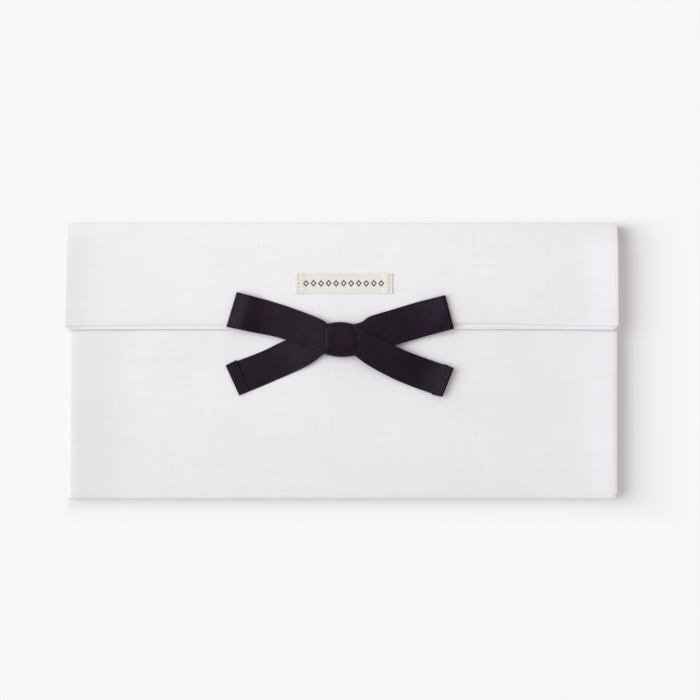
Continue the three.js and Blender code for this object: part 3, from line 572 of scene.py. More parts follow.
EVEN_SHARE = 0.92
EVEN_RAMPS = (("X", 129, 162), ("X", -122, -129), ("Y", 60, 67), ("Y", -62, -76))
parts = add_node(tree, "ShaderNodeSeparateXYZ", links={0: floor_place})
ramps = []
for axis, start, end in EVEN_RAMPS:
    reach = {"From Min": start * MM, "From Max": end * MM, "To Max": EVEN_SHARE}
    reach["interpolation_type"] = "SMOOTHSTEP"
    ramps.append(add_node(tree, "ShaderNodeMapRange", reach, {"Value": parts.outputs[axis]}))
evened = ramps[0]
for ramp in ramps[1:]:
    evened = add_node(tree, "ShaderNodeMath", {"operation": "MAXIMUM"}, {0: evened, 1: ramp})
shares = {0: evened, 1: seen_background(tree)}
glow_share = add_node(tree, "ShaderNodeMath", {"operation": "MULTIPLY"}, shares)
glow = add_node(tree, "ShaderNodeEmission", {"Color": WALL_COLOUR, "Strength": 1.0})
table_top = add_node(tree, "ShaderNodeMixShader", links={0: glow_share, 1: shader, 2: glow})
tree.links.new(table_top.outputs[0], tree.nodes["Material Output"].inputs["Surface"])

FLOOR_SIDE = 3000.0
floor_points = np.array([[-1, -1, 0], [1, -1, 0], [1, 1, 0], [-1, 1, 0]], float) * FLOOR_SIDE / 2
floor = mesh_piece("floor", floor_points, [[0, 1, 2, 3]], laminate)

# %% [markdown]
# ## The bag's cloth
#
# Both panels are sewn together inside out along the sides and the bottom, and then turned. Four layers
# of seam allowance then lie inside the edge, so the edge stands up as a soft ridge and the middle sinks
# a little. That ridge is what the light shows on the photograph: a bright left edge, a dull valley just
# inside it, and a bright band inside the right edge.
#
# A cross-section tells it all: at the seam the cloth stands upright, it rounds over within about three
# millimetres at most, and then the face begins. So a grid is laid out by how far each column has risen
# from the seam, from 0 to 1, and the relief of the face is added where it has risen. The full seams push
# the sides of the bag out to nearly the width of the flap.

# %% Columns and rows of a panel
BAG_LEFT = BAG_SIDE + 1.6
BAG_RIGHT = BAG_SIDE + 1.4
BAG_LOW = BAG_BOTTOM - 0.4
LEFT_ROUNDING = 3.1
RIGHT_ROUNDING = 0.8
LOWER_ROUNDING = 1.2
BACK_ROUNDING = 0.5
FACE_STEP = 2.2


def edge_steps(rounding, steps=8):
    """How far in from an edge each line lies, and how far it has risen from the seam"""
    turn = np.linspace(0, math.pi / 2, steps)
    return rounding * (1 - np.cos(turn)), np.sin(turn)


def columns_across(first, last, half):
    """Places of the columns from -1 to 1 between two rounded edges, with how far each has risen"""
    first_inset, rise = edge_steps(first)
    last_inset, _ = edge_steps(last)
    count = int((2 * half - first - last) / FACE_STEP)
    middle = np.linspace(-half + first, half - last, count)[1:-1]
    places = np.concatenate([-half + first_inset, middle, half - last_inset[::-1]]) / half
    return places, np.concatenate([rise, np.ones(len(middle)), rise[::-1]])


def spread_columns(places, left, right):
    """The columns' places in millimetres, for rows that reach left and right by the given halves"""
    return np.where(places[None, :] < 0, places[None, :] * left[:, None], places[None, :] * right[:, None])


def rounded_side(y, bottom, radius, half):
    """Half the width at a height y, narrower within a rounded lower corner"""
    into = np.clip(bottom + radius - y, 0, radius)
    return half - radius + np.sqrt(radius**2 - into**2)


# %% [markdown]
# Hand-sewn cloth is never ruled flat. A few long waves with fixed phases give every sheet its own slow
# unevenness, of a tenth of a millimetre or so, the same each time the script runs. Everything else that
# rises or sinks is put together from three shapes: a smooth curve through given values, a rounded ridge
# and a soft step.

# %% Slow waves in the cloth
WAVE_LENGTHS = (140, 93, 61, 43, 31)


def slow_waves(x, y, seed):
    """An uneven surface between about -1 and 1"""
    chance = np.random.RandomState(seed)
    total = np.zeros(np.broadcast(x, y).shape)
    for length in WAVE_LENGTHS:
        heading = chance.uniform(0, math.pi)
        phase = chance.uniform(0, 2 * math.pi)
        along = x * math.cos(heading) + y * math.sin(heading)
        total = total + np.sin(2 * math.pi * along / length + phase) * (length / WAVE_LENGTHS[0]) ** 0.5
    return total / len(WAVE_LENGTHS) * 1.8


def eased(s, places, values):
    """A smooth curve through the values at the places"""
    places = np.asarray(places, float)
    values = np.asarray(values, float)
    slopes = np.gradient(values, places)
    index = np.clip(np.searchsorted(places, s, side="right") - 1, 0, len(places) - 2)
    gap = places[index + 1] - places[index]
    u = np.clip((s - places[index]) / gap, 0, 1)
    start = values[index] * (1 + 2 * u) * (1 - u) ** 2 + gap * slopes[index] * u * (1 - u) ** 2
    end = values[index + 1] * u**2 * (3 - 2 * u) - gap * slopes[index + 1] * u**2 * (1 - u)
    return start + end


def bump(value, centre, inner, outer=None):
    """A rounded ridge; outer is its width on the falling side where that is another one"""
    width = np.where(value < centre, inner, inner if outer is None else outer)
    return np.exp(-((value - centre) / width) ** 2)


def smooth(share):
    """From 0 to 1 with a soft start and a soft end"""
    share = np.clip(share, 0, 1)
    return share**2 * (3 - 2 * share)


# %% [markdown]
# The front's relief is written as heights in millimetres over the plain face, as a curve from left to
# right. The numbers come from the photograph: the left ridge peaks 4 mm in and falls into a valley that
# is deepest 21 mm in, and the right ridge begins 19 mm in.

# %% Relief of the front face
RIDGE_PLACES = (-126, -121.5, -117, -104, -82, -45, 60, 92, 106, 113, 122, 126)
RIDGE_HEIGHTS = (0.7, 0.95, 0.5, -0.95, -0.65, -0.15, -0.15, -0.5, -0.4, 0.05, 1.15, 1.45)
LOWER_RIDGE = 0.35
LOWER_RIDGE_INSET = 4.0
LOWER_RIDGE_WIDTHS = 9, 6
UNDER_FLAP_RISE = 0.35
UNDER_FLAP_INSET = 1.5
UNDER_FLAP_WIDTHS = 6, 1.8
BOW_HALF = 20
FRONT_WAVES = 0.07
RIDGE_START = 100.0
RIDGE_FULL = 115.0


def on_side_ridge(x):
    """0 over the middle of the front, 1 over the ridges at its sides"""
    return np.clip((np.abs(x) - RIDGE_START) / (RIDGE_FULL - RIDGE_START), 0, 1)


def front_relief(x, y):
    """Height of the front over its plain face"""
    ridges = eased(x, RIDGE_PLACES, RIDGE_HEIGHTS)
    lower_ridge = LOWER_RIDGE * bump(-y, -BAG_LOW - LOWER_RIDGE_INSET, *LOWER_RIDGE_WIDTHS)
    beside_bow = np.clip((np.abs(x) - BOW_HALF) / BOW_HALF, 0, 1) * (1 - on_side_ridge(x))
    under_flap = UNDER_FLAP_RISE * bump(y, FLAP_EDGE - UNDER_FLAP_INSET, *UNDER_FLAP_WIDTHS) * beside_bow
    return ridges + lower_ridge + under_flap + FRONT_WAVES * slow_waves(x, y, seed=4)


def front_height(x, y):
    return FRONT_FACE + front_relief(x, y)


print("front at the ridge and in the middle:", front_height(-118, 0), front_height(0, 0))

# %% [markdown]
# ### Front
#
# The rows run from the bottom seam up the face to the mouth. There the cloth turns in and runs back down
# inside for 6 mm, as a hem. The felt stops short of it, so that hem and felt lie at one level and the
# lining covers both without a step.

# %% The front's grid
HEM_DEPTH = 6.0
HEM_RADIUS = CANVAS + PLY_GAP / 2
LEFT_CORNER = 1.2
RIGHT_CORNER = 3.0
BAG_SOLIDS = "left_seam", "right_seam", "bottom_seam"


def face_rows(bottom, top, rounding):
    """Heights of rows from a bottom seam to a top line, with how far each has risen"""
    inset, rise = edge_steps(rounding)
    middle = np.linspace(bottom + rounding, top, int((top - bottom - rounding) / FACE_STEP))[1:]
    return np.concatenate([bottom + inset, middle]), np.concatenate([rise, np.ones(len(middle))])


def turn_back(radius, depth, steps=4):
    """A half circle and a straight run back: offsets beyond the fold line and below the face"""
    turn = np.linspace(0, math.pi, 6)[1:]
    beyond = np.concatenate([radius * np.sin(turn), -np.linspace(0, depth, steps)[1:]])
    below = np.concatenate([radius * (1 - np.cos(turn)), np.full(steps - 1, 2 * radius)])
    return beyond[:, None], below[:, None]


places, rise_across = columns_across(LEFT_ROUNDING, RIGHT_ROUNDING, BAG_LEFT)
y_rows, rise_up = face_rows(BAG_LOW, MOUTH - HEM_RADIUS, LOWER_ROUNDING)
left_half = rounded_side(y_rows, BAG_LOW, LEFT_CORNER, BAG_LEFT)
right_half = rounded_side(y_rows, BAG_LOW, RIGHT_CORNER, BAG_RIGHT)
x_grid = spread_columns(places, left_half, right_half)
y_grid = np.repeat(y_rows[:, None], len(places), 1)
rise = rise_up[:, None] * rise_across[None, :]
z_grid = SEAM + (FRONT_FACE - SEAM + front_relief(x_grid, y_grid)) * rise
face = np.stack([x_grid, y_grid, z_grid], -1)
beyond, below = turn_back(HEM_RADIUS, HEM_DEPTH)
hem = np.stack([x_grid[-1:] + 0 * beyond, y_grid[-1:] + beyond, z_grid[-1:] - below * rise_across], -1)
front_grid = np.concatenate([face, hem])
front_cloth = sheet_mesh("front_cloth", front_grid, CANVAS, canvas)
hand_over(front_cloth, "pouch", "cotton_cloth", "front_panel_outer", *BAG_SOLIDS)
print("front grid", front_grid.shape)

# %% [markdown]
# ### Back and top fold
#
# The back is the same panel turned over, except that it doesn't stop at the mouth. It runs on, turns up round
# the top fold and becomes the flap. On the real pouch that is one length of canvas; here it is divided in the
# middle of the fold, because each half has to bend at a crease of its own when the flap opens. On the real
# pouch that is one length of canvas; here it is divided in the middle of the fold, and both halves end on the
# same line.
#
# The path of the cloth is drawn in y and z. Each row knows which way the inside of the pouch lies, and
# the side edges turn in that way: down to the seam along the bag, and by just a millimetre beyond the
# mouth, where the edge is only turned over the lining.

# %% Path round the top fold
FOLD_RADIUS = 1.7
FOLD_MIDDLE = FLAP_FACE / 2
FOLD_STEP = 0.55
LEFT_AT_FOLD = FOLD_SIDE + 0.6
RIGHT_AT_FOLD = FOLD_SIDE + 0.4
EDGE_TURN = 1.5
EDGE_CHANGE = 5.0
MEETING_GAP = 0.04
BACK_BEND = "pouch", "top_fold", (0, FOLD_FACE - FOLD_RADIUS, 0), (0, FOLD_FACE, FOLD_RADIUS)
FRONT_BEND = (
    "top_fold",
    "flap",
    (0, FOLD_FACE, FLAP_FACE - FOLD_RADIUS),
    (0, FOLD_FACE - FOLD_RADIUS, FLAP_FACE),
)


def fold_path(y_flat, z_flat, inset, lower):
    """Rows over flat cloth and then round one half of the fold to its middle, with the way inwards"""
    radius = FOLD_RADIUS - inset
    turn = np.linspace(0, math.pi / 2, 9)
    meeting = FOLD_MIDDLE - MEETING_GAP
    rest = np.append(np.arange(FOLD_RADIUS + FOLD_STEP, meeting, FOLD_STEP), meeting)
    round_y = FOLD_FACE - FOLD_RADIUS + radius * np.sin(turn)
    y = np.concatenate([round_y, np.full(len(rest), FOLD_FACE - inset)])
    z = np.concatenate([FOLD_RADIUS - radius * np.cos(turn), rest])
    inward = np.stack([-np.sin(turn), np.cos(turn)], -1)
    inward = np.concatenate([inward, np.tile([-1.0, 0.0], (len(rest), 1))])
    if not lower:
        z = FLAP_FACE - z
        inward = inward * (1, -1)
    flat = np.stack([y_flat, z_flat + 0 * y_flat], -1)
    flat_inward = np.tile([0.0, 1.0 if lower else -1.0], (len(y_flat), 1))
    return np.concatenate([flat, np.stack([y, z], -1)]), np.concatenate([flat_inward, inward])


def swept_grid(path, inward, half_left, half_right, edge_depth, places, rise_across, relief):
    """Rows across the pouch along a path; the side edges turn inwards by edge_depth"""
    x = spread_columns(places, half_left, half_right)
    sunk = edge_depth[:, None] * (1 - rise_across[None, :]) - relief
    y = path[:, :1] + inward[:, :1] * sunk
    z = path[:, 1:] + inward[:, 1:] * sunk
    return np.stack([x, y, z], -1)


# %% [markdown]
# The back lies on the table, so its face is flat, and at the seams it turns up sharply to meet the
# front. The columns run from right to left here, because the outer side of this cloth looks down.

# %% The back's grid
places, rise_across = columns_across(BACK_ROUNDING, BACK_ROUNDING, BAG_LEFT)
y_rows, rise_up = face_rows(BAG_LOW, FOLD_FACE - FOLD_RADIUS, BACK_ROUNDING)
z_rows = (SEAM - PLY_GAP) * (1 - rise_up)
path, inward = fold_path(y_rows[:-1], z_rows[:-1], 0.0, True)
past_mouth = smooth((path[:, 0] - MOUTH + 2) / EDGE_CHANGE)
bag_depth = np.maximum(SEAM - PLY_GAP - path[:, 1], 0)
edge_depth = bag_depth * (1 - past_mouth) + EDGE_TURN * past_mouth
left_half = rounded_side(path[:, 0], BAG_LOW, LEFT_CORNER, BAG_LEFT)
left_half = left_half + (LEFT_AT_FOLD - BAG_LEFT) * past_mouth
right_half = rounded_side(path[:, 0], BAG_LOW, RIGHT_CORNER, BAG_RIGHT)
right_half = right_half + (RIGHT_AT_FOLD - BAG_RIGHT) * past_mouth
back_grid = swept_grid(path, inward, left_half, right_half, edge_depth, -places, rise_across, 0)
back_cloth = sheet_mesh("back_cloth", back_grid, CANVAS, canvas)
bend_over(back_cloth, BACK_BEND, "cotton_cloth", "back_panel_outer", *BAG_SOLIDS, "fold_outer")
print("back grid", back_grid.shape)

# %% [markdown]
# ### Flap
#
# The flap is a touch wider than the bag and flares by a millimetre towards its free edge. Its sides lie
# on the bag's ridges and rise with them. Along the free edge the canvas was stitched to the lining and
# turned, and the stitching holds a rolled lip one to two millimetres wide; the line above it isn't quite
# parallel to the edge, as on any hand-guided seam.

# %% Relief of the flap
FLAP_LOW = FLAP_EDGE - 0.5
FLAP_LEFT = FLAP_SIDE + 1.0
FLAP_SIDE_PLACES = (-127, -124.5, -117, -107, -92, -65, 88, 104, 112, 122, 126)
FLAP_SIDE_HEIGHTS = (1.6, 1.3, 0.0, -0.6, -0.4, 0.0, 0.0, 0.0, 0.35, 1.7, 2.1)
EDGE_DROP = 0.9
EDGE_DROP_REACH = 4.0
EDGE_DROP_LOST = 0.8
GROOVE_DEPTH = 0.75
GROOVE_WIDTH = 0.5
LIP_SWELL = 0.06
LIP_BELOW = 1.0
LIP_WIDTH = 0.5
FLAP_WAVES = 0.08
LEFT_FLAP_ROUNDING = 1.3
RIGHT_FLAP_ROUNDING = 0.5
SWELL_END = 10.0
LIP_ROUNDING = 1.5
LIP_TURN = 0.25
FLAP_CORNER = 2.6
GROOVE_PLACES = (-122, -117, -104, -72, 20, 64, 75, 89, 112, 122)
GROOVE_ABOVE_EDGE = (0.7, 0.85, 1.1, 1.35, 1.7, 2.1, 1.95, 1.4, 0.9, 0.8)


def groove_height(x):
    """How far above the free edge the stitched groove runs"""
    return np.interp(x, GROOVE_PLACES, GROOVE_ABOVE_EDGE)


def flap_swell(x, y):
    """How the whole flap rises over the bag's ridges, down to nothing where the top fold begins"""
    swell = eased(x, FLAP_SIDE_PLACES, FLAP_SIDE_HEIGHTS) + FLAP_WAVES * slow_waves(x, y, seed=12)
    pressed = EDGE_DROP * bump(y, FLAP_LOW, EDGE_DROP_REACH) * (1 - EDGE_DROP_LOST * on_side_ridge(x))
    return swell * smooth((FOLD_FACE - FOLD_RADIUS - y) / SWELL_END) - pressed


def flap_relief(x, y):
    """Height of the flap's canvas over its plain face"""
    above = y - FLAP_LOW - groove_height(x)
    groove = GROOVE_DEPTH * bump(above, 0, GROOVE_WIDTH)
    return flap_swell(x, y) - groove + LIP_SWELL * bump(above, -LIP_BELOW, LIP_WIDTH)


def flap_height(x, y):
    return FLAP_FACE + flap_relief(x, y)


def flap_reach(y, at_fold, at_edge):
    """How far the flap reaches to one side, from the fold to the free edge"""
    share = np.clip((FOLD_FACE - y) / (FOLD_FACE - FLAP_LOW), 0, 1)
    return at_fold + (at_edge - at_fold) * share


# %% The flap's grid
FINE_REACH = 4.0
FINE_STEP = 0.2
COARSE_ROWS = 20
places, rise_across = columns_across(LEFT_FLAP_ROUNDING, RIGHT_FLAP_ROUNDING, FLAP_LEFT)
inset, edge_rise = edge_steps(LIP_ROUNDING)
fine = np.arange(FLAP_LOW + LIP_ROUNDING, FLAP_LOW + FINE_REACH, FINE_STEP)[1:]
coarse = np.linspace(FLAP_LOW + FINE_REACH, FOLD_FACE - FOLD_RADIUS, COARSE_ROWS)[:-1]
y_rows = np.concatenate([FLAP_LOW + inset, fine, coarse])
lip_drop = LIP_TURN * np.clip(1 - (y_rows - FLAP_LOW) / LIP_ROUNDING, 0, 1) ** 2
path, inward = fold_path(y_rows, FLAP_FACE - lip_drop, 0.0, False)
edge_turns = EDGE_TURN * np.concatenate([edge_rise, np.ones(len(path) - len(edge_rise))])
corner = rounded_side(path[:, 0], FLAP_LOW, FLAP_CORNER, 0)
left_half = flap_reach(path[:, 0], LEFT_AT_FOLD, FLAP_LEFT) + corner
right_half = flap_reach(path[:, 0], RIGHT_AT_FOLD, FLAP_SIDE) + corner
relief = flap_relief(spread_columns(places, left_half, right_half), path[:, :1])
flap_grid = swept_grid(path, inward, left_half, right_half, edge_turns, places, rise_across, relief)
flap_cloth = sheet_mesh("flap_cloth", flap_grid, CANVAS, canvas)
bend_over(flap_cloth, FRONT_BEND, "cotton_cloth", "flap_outer", "fold_outer")
print("flap grid", flap_grid.shape)

# %% [markdown]
# ### Seam allowances
#
# The cloth goes on past the seam for 6 mm. Inside the turned bag the allowances of front and back lie on
# each other as a rim, with their raw edges towards the middle and the seam's stitches through both. They
# only show when someone looks into the open pocket.

# %% Seam allowances of the front and the back
ALLOWANCE = 6.0
ALLOWANCE_START = 0.7
ALLOWANCE_TOP = MOUTH - 2
ALLOWANCE_STEP = 3.0
ALLOWANCE_WAVES = 0.08
FRAY = 0.25


def allowance_strip(name, top, seed):
    """A strip along both sides and the bottom, its raw edge inwards"""
    side = BAG_SIDE - ALLOWANCE_START
    bottom = BAG_BOTTOM + ALLOWANCE_START
    corner = 2 * ALLOWANCE
    left_run = [(-side, y, 1, 0) for y in np.arange(ALLOWANCE_TOP, bottom + corner, -ALLOWANCE_STEP)]
    left_run.append((-side, bottom, 1, 1))
    low_run = [(x, bottom, 0, 1) for x in np.arange(-side + corner, side - corner, ALLOWANCE_STEP)]
    right_run = [(-x, y, -dx, dy) for x, y, dx, dy in left_run[::-1]]
    stations = np.array(left_run + low_run + right_run, float)
    depth = ALLOWANCE + FRAY * np.random.RandomState(seed).uniform(-1, 1, len(stations))
    reach = depth[:, None] * np.array([[1.0, 0.66, 0.33, 0.0]])
    x = stations[:, :1] + stations[:, 2:3] * reach
    y = stations[:, 1:2] + stations[:, 3:4] * reach
    z = top + ALLOWANCE_WAVES * slow_waves(x * 3, y * 3, seed)
    return sheet_mesh(name, np.stack([x, y, z], -1), CANVAS, canvas)


upper_allowance = allowance_strip("front_seam_allowance", SEAM + CANVAS + PLY_GAP, 21)
lower_allowance = allowance_strip("back_seam_allowance", SEAM - PLY_GAP, 22)
for strip in (upper_allowance, lower_allowance):
    hand_over(strip, "pouch", "cotton_cloth", *BAG_SOLIDS)

# %% [markdown]


# %% [markdown]
# ### Felt and lining
#
# Under each canvas lies a felt, which keeps the pouch flat, and under that the lining. They follow the
# canvas at a fixed depth, so the same height functions place them. The felt stops at the creases, because
# a stiffened crease would not fold, at the hem of the mouth and above the flap's row of stitches. The
# lining runs on round the top fold.

# %% Felt sheets
FELT_DEPTH = CANVAS + PLY_GAP
LINING_DEPTH = FELT_DEPTH + FELT + PLY_GAP
PLY_STEP = 5.0
FELT_INSET = 0.6
HEM_GAP = 0.8
CREASE_GAP = 1.2
STITCH_GAP = 3.0


def ply_grid(x, y, height):
    """A sheet with columns at x and rows at y, at the height of a function"""
    x_all, y_all = np.meshgrid(x, y)
    return np.stack([x_all, y_all, height(x_all, y_all)], -1)


def felt_sheet(name, solid, bottom, top, height, body):
    """A sheet of felt as wide as its solid, from bottom to top"""
    half = solid_box(solid)[1][0] - FELT_INSET
    x = np.linspace(-half, half, int(2 * half / PLY_STEP))
    grid = ply_grid(x, np.linspace(bottom, top, int((top - bottom) / PLY_STEP) + 2), height)
    sheet = sheet_mesh(name, grid, FELT, felt)
    hand_over(sheet, body, "interlining", solid)


FLAP_FELT_GAP = 0.02
FELT_BOTTOM, FELT_TOP = [corner[1] for corner in solid_box("back_interlining")]
FLAP_FELT_BOTTOM, FLAP_FELT_TOP = [corner[1] for corner in solid_box("flap_interlining")]
felt_sheet(
    "front_felt",
    "front_interlining",
    FELT_BOTTOM,
    MOUTH - HEM_DEPTH - HEM_GAP,
    lambda x, y: front_height(x, y) - FELT_DEPTH,
    "pouch",
)
felt_sheet(
    "back_felt",
    "back_interlining",
    FELT_BOTTOM,
    FELT_TOP - CREASE_GAP,
    lambda x, y: FELT_DEPTH + FELT + 0 * x,
    "pouch",
)
felt_sheet(
    "flap_felt",
    "flap_interlining",
    FLAP_FELT_BOTTOM + STITCH_GAP,
    FLAP_FELT_TOP - CREASE_GAP,
    lambda x, y: flap_height(x, y) - FELT_DEPTH - FLAP_FELT_GAP,
    "flap",
)

# %% [markdown]
# The pocket's lining is a shallow tray on each side: flat in the middle, and rising to the seam at the
# edges, where it was sewn in with the allowances.

# %% Lining of the pocket's front
LINING_EDGE = 2.0
LINING_BELOW_MOUTH = 1.2
back_lining_low, back_lining_high = solid_box("back_lining")
LINING_SIDE = back_lining_high[0]
LINING_BOTTOM = back_lining_low[1]


def front_lining_height(x, y):
    """At the seam along the sides and the bottom, under the felt from LINING_EDGE inwards"""
    flat = front_height(x, y) - LINING_DEPTH
    edge = SEAM + CANVAS + PLY_GAP + LINING
    side = np.clip((LINING_SIDE - np.abs(x)) / LINING_EDGE, 0, 1)
    low = np.clip((y - LINING_BOTTOM) / LINING_EDGE, 0, 1)
    return edge + (flat - edge) * np.sqrt(1 - (1 - side) ** 2) * np.sqrt(1 - (1 - low) ** 2)


lining_top = MOUTH - LINING_BELOW_MOUTH
inset, edge_rise = edge_steps(LINING_EDGE, 5)
inner_side = LINING_SIDE - LINING_EDGE
inner_low = LINING_BOTTOM + LINING_EDGE
x = np.linspace(-inner_side, inner_side, int(2 * LINING_SIDE / PLY_STEP))[1:-1]
x = np.concatenate([-LINING_SIDE + inset, x, LINING_SIDE - inset[::-1]])
y = np.linspace(inner_low, lining_top, int((lining_top - LINING_BOTTOM) / PLY_STEP))[1:]
grid = ply_grid(x, np.concatenate([LINING_BOTTOM + inset, y]), front_lining_height)
front_lining_cloth = sheet_mesh("front_lining_cloth", grid, LINING, lining_cotton)
hand_over(front_lining_cloth, "pouch", "lining_cloth", "front_lining")

# %% [markdown]
# The back's lining and the flap's lining are again one length of cotton, divided in the middle of the
# fold like the canvas, and made along the same path, one ply stack further in.

# %% Linings of the back and the flap round the top fold
BACK_LINING_ROWS = 24
FLAP_LINING_ROWS = 14
FLAP_LINING_COLUMNS = 100
LINING_INSIDE_FOLD = 0.6
LINING_INSIDE_EDGE = 0.8
flat_y = np.linspace(inner_low, FOLD_FACE - FOLD_RADIUS, BACK_LINING_ROWS)[1:-1]
y_rows = np.concatenate([LINING_BOTTOM + inset, flat_y])
up = np.concatenate([edge_rise, np.ones(len(flat_y))])
edge_level = SEAM - CANVAS - PLY_GAP - LINING
path, inward = fold_path(y_rows, edge_level + (LINING_DEPTH - edge_level) * up, LINING_DEPTH, True)
past_mouth = smooth((path[:, 0] - MOUTH + 1) / EDGE_CHANGE)
half = LINING_SIDE + (FOLD_SIDE - LINING_INSIDE_FOLD - LINING_SIDE) * past_mouth
depth = np.maximum(edge_level - path[:, 1], 0) * (1 - past_mouth)
places, rise_across = columns_across(LINING_EDGE, LINING_EDGE, LINING_SIDE)
grid = swept_grid(path, inward, half, half, depth, -places, rise_across, 0)
back_lining_cloth = sheet_mesh("back_lining_cloth", grid, LINING, lining_cotton)
bend_over(back_lining_cloth, BACK_BEND, "lining_cloth", "back_lining", "fold_lining")

flap_lining_low, flap_lining_high = solid_box("flap_lining")
low_row = flap_lining_low[1] + LINING_INSIDE_EDGE
y_rows = np.linspace(low_row, FOLD_FACE - FOLD_RADIUS, FLAP_LINING_ROWS)[:-1]
path, inward = fold_path(y_rows, FLAP_FACE - LINING_DEPTH, LINING_DEPTH, False)
half = flap_reach(path[:, 0], FOLD_SIDE, FLAP_SIDE) - FLAP_SIDE + flap_lining_high[0]
places = np.linspace(-1, 1, FLAP_LINING_COLUMNS)
swell = flap_swell(places[None, :] * half[:, None], path[:, :1])
no_turn = np.zeros(len(path))
grid = swept_grid(path, inward, half, half, no_turn, places, np.ones(len(places)), swell)
flap_lining_cloth = sheet_mesh("flap_lining_cloth", grid, LINING, lining_cotton)
bend_over(flap_lining_cloth, FRONT_BEND, "lining_cloth", "flap_lining", "fold_lining")

# %% [markdown]
# ## Stitches
#
# A lockstitch comes up through one needle hole, lies on the cloth for about 2.5 mm and goes down through
# the next. Each is a short thread swept through seven rings, lowest at its ends, where it dips into the
# cloth. Drawing them as real threads, not as a texture, lets them catch light and shade on their own.

# %% A row of stitches
THREAD = 0.28
THREAD_SIDES = 6
THREAD_RINGS = 7
STITCH = 2.6
HOLE_GAP = 0.5


def stitch_row(points, stitch=STITCH, gap=HOLE_GAP):
    """Pairs of needle holes along a line of plan points"""
    points = np.asarray(points, float)
    steps = np.linalg.norm(np.diff(points, axis=0), axis=1)
    travel = np.concatenate([[0], np.cumsum(steps)])
    count = max(1, round((travel[-1] + gap) / (stitch + gap)))
    pitch = (travel[-1] + gap) / count
    starts = np.arange(count) * pitch
    where = np.stack([starts, starts + pitch - gap], -1)
    return np.stack([np.interp(where, travel, points[:, 0]), np.interp(where, travel, points[:, 1])], -1)


def stitches(name, holes, height, material, thread=THREAD, proud=0.12):
    """Threads from hole to hole over a surface of the given height"""
    share = np.linspace(0, 1, THREAD_RINGS)
    turn = np.arange(THREAD_SIDES) * 2 * math.pi / THREAD_SIDES
    arch = np.sin(math.pi * share) ** 0.5
    dip = 0.7 * thread
    points, faces, flat = [], [], []
    for start, end in holes:
        first = len(points)
        length = np.linalg.norm(end - start)
        heading = (end - start) / length
        aside = np.array([-heading[1], heading[0]])
        centre = start + (end - start) * share[:, None]
        level = height(centre[:, 0], centre[:, 1]) - dip + (dip + proud) * arch
        for ring in range(THREAD_RINGS):
            for angle in turn:
                out = thread / 2 * math.cos(angle) * aside
                points.append((*(centre[ring] + out), level[ring] + thread / 2 * math.sin(angle)))
                flat.append((thread * angle / 2, share[ring] * length))
        for ring in range(THREAD_RINGS - 1):
            for side in range(THREAD_SIDES):
                here = first + ring * THREAD_SIDES + side
                beside = first + ring * THREAD_SIDES + (side + 1) % THREAD_SIDES
                faces.append([here, beside, beside + THREAD_SIDES, here + THREAD_SIDES])
        faces.append(list(range(first + THREAD_SIDES - 1, first - 1, -1)))
        last = first + (THREAD_RINGS - 1) * THREAD_SIDES
        faces.append(list(range(last, last + THREAD_SIDES)))
    print(name, "has", len(holes), "stitches")
    return mesh_piece(name, np.array(points), faces, material, np.array(flat), sharp=60)


# %% Stitches of the bag and the flap
FLAP_STITCH_HALF = FLAP_SIDE - 2.4
MOUTH_STITCH_INSET = 2.0
MOUTH_STITCH_HALF = BAG_SIDE - 5
SEAM_STITCH_INSET = 1.6
SEAM_STITCH_TOP = MOUTH - 2.5

x_line = np.linspace(-FLAP_STITCH_HALF, FLAP_STITCH_HALF, 60)
flap_holes = stitch_row(np.stack([x_line, FLAP_LOW + groove_height(x_line)], -1))
flap_stitches = stitches("flap_edge_stitches", flap_holes, flap_height, white_thread, proud=-0.05)
hand_over(flap_stitches, "flap", "white_thread", "flap_edge_thread")

mouth_y = MOUTH - MOUTH_STITCH_INSET
mouth_holes = stitch_row([(-MOUTH_STITCH_HALF, mouth_y), (MOUTH_STITCH_HALF, mouth_y)])
mouth_stitches = stitches("mouth_stitches", mouth_holes, front_height, white_thread)
hand_over(mouth_stitches, "pouch", "white_thread", "mouth_thread")

seam_x = BAG_SIDE - SEAM_STITCH_INSET
seam_y = BAG_BOTTOM + SEAM_STITCH_INSET
seam_line = [(-seam_x, SEAM_STITCH_TOP), (-seam_x, seam_y), (seam_x, seam_y), (seam_x, SEAM_STITCH_TOP)]
seam_holes = np.concatenate([stitch_row(seam_line[place:place + 2]) for place in range(3)])
seam_level = SEAM + CANVAS + PLY_GAP
seam_stitches = stitches("seam_stitches", seam_holes, lambda x, y: seam_level + 0 * x, white_thread)
hand_over(seam_stitches, "pouch", "white_thread", "seam_thread")

# %% [markdown]
# ## The label
#
# A piece of tape with both ends folded under and sewn down. The tape is pulled a little tight between
# its two rows of stitches, so it lies close to the flap, while its folded ends stand higher, two plies
# thick, and its corners lift.

# %% Label with folded ends
label_low, label_high = solid_box("label")
LABEL_TO_LEFT = 0.17
LABEL_SHORTER = 0.2
LABEL_CENTRE = (label_low + label_high) / 2 - (LABEL_TO_LEFT, 0, 0)
LABEL_HALF = (label_high[0] - label_low[0]) / 2 - LABEL_SHORTER
TAPE = 0.24
TAPE_FOLD = 3.2
TAPE_COLUMNS = 13
LABEL_STITCH_INSET = 1.7
LABEL_STITCH_REACH = 4.3
LABEL_STITCH = 1.3
LABEL_HOLE_GAP = 0.35
LABEL_THREAD = 0.34
LABEL_ROW_SLANT = 0.2
ENDS_LOOSE = 0.06
MIDDLE_PULLED = 0.02
RISE_START = 0.1
RISE_RUN = 1.4
STITCH_DIP = 0.06
STITCH_DIP_WIDTH = 0.5
CORNER_LIFT = 0.12
TAPE_WAVES = 0.025


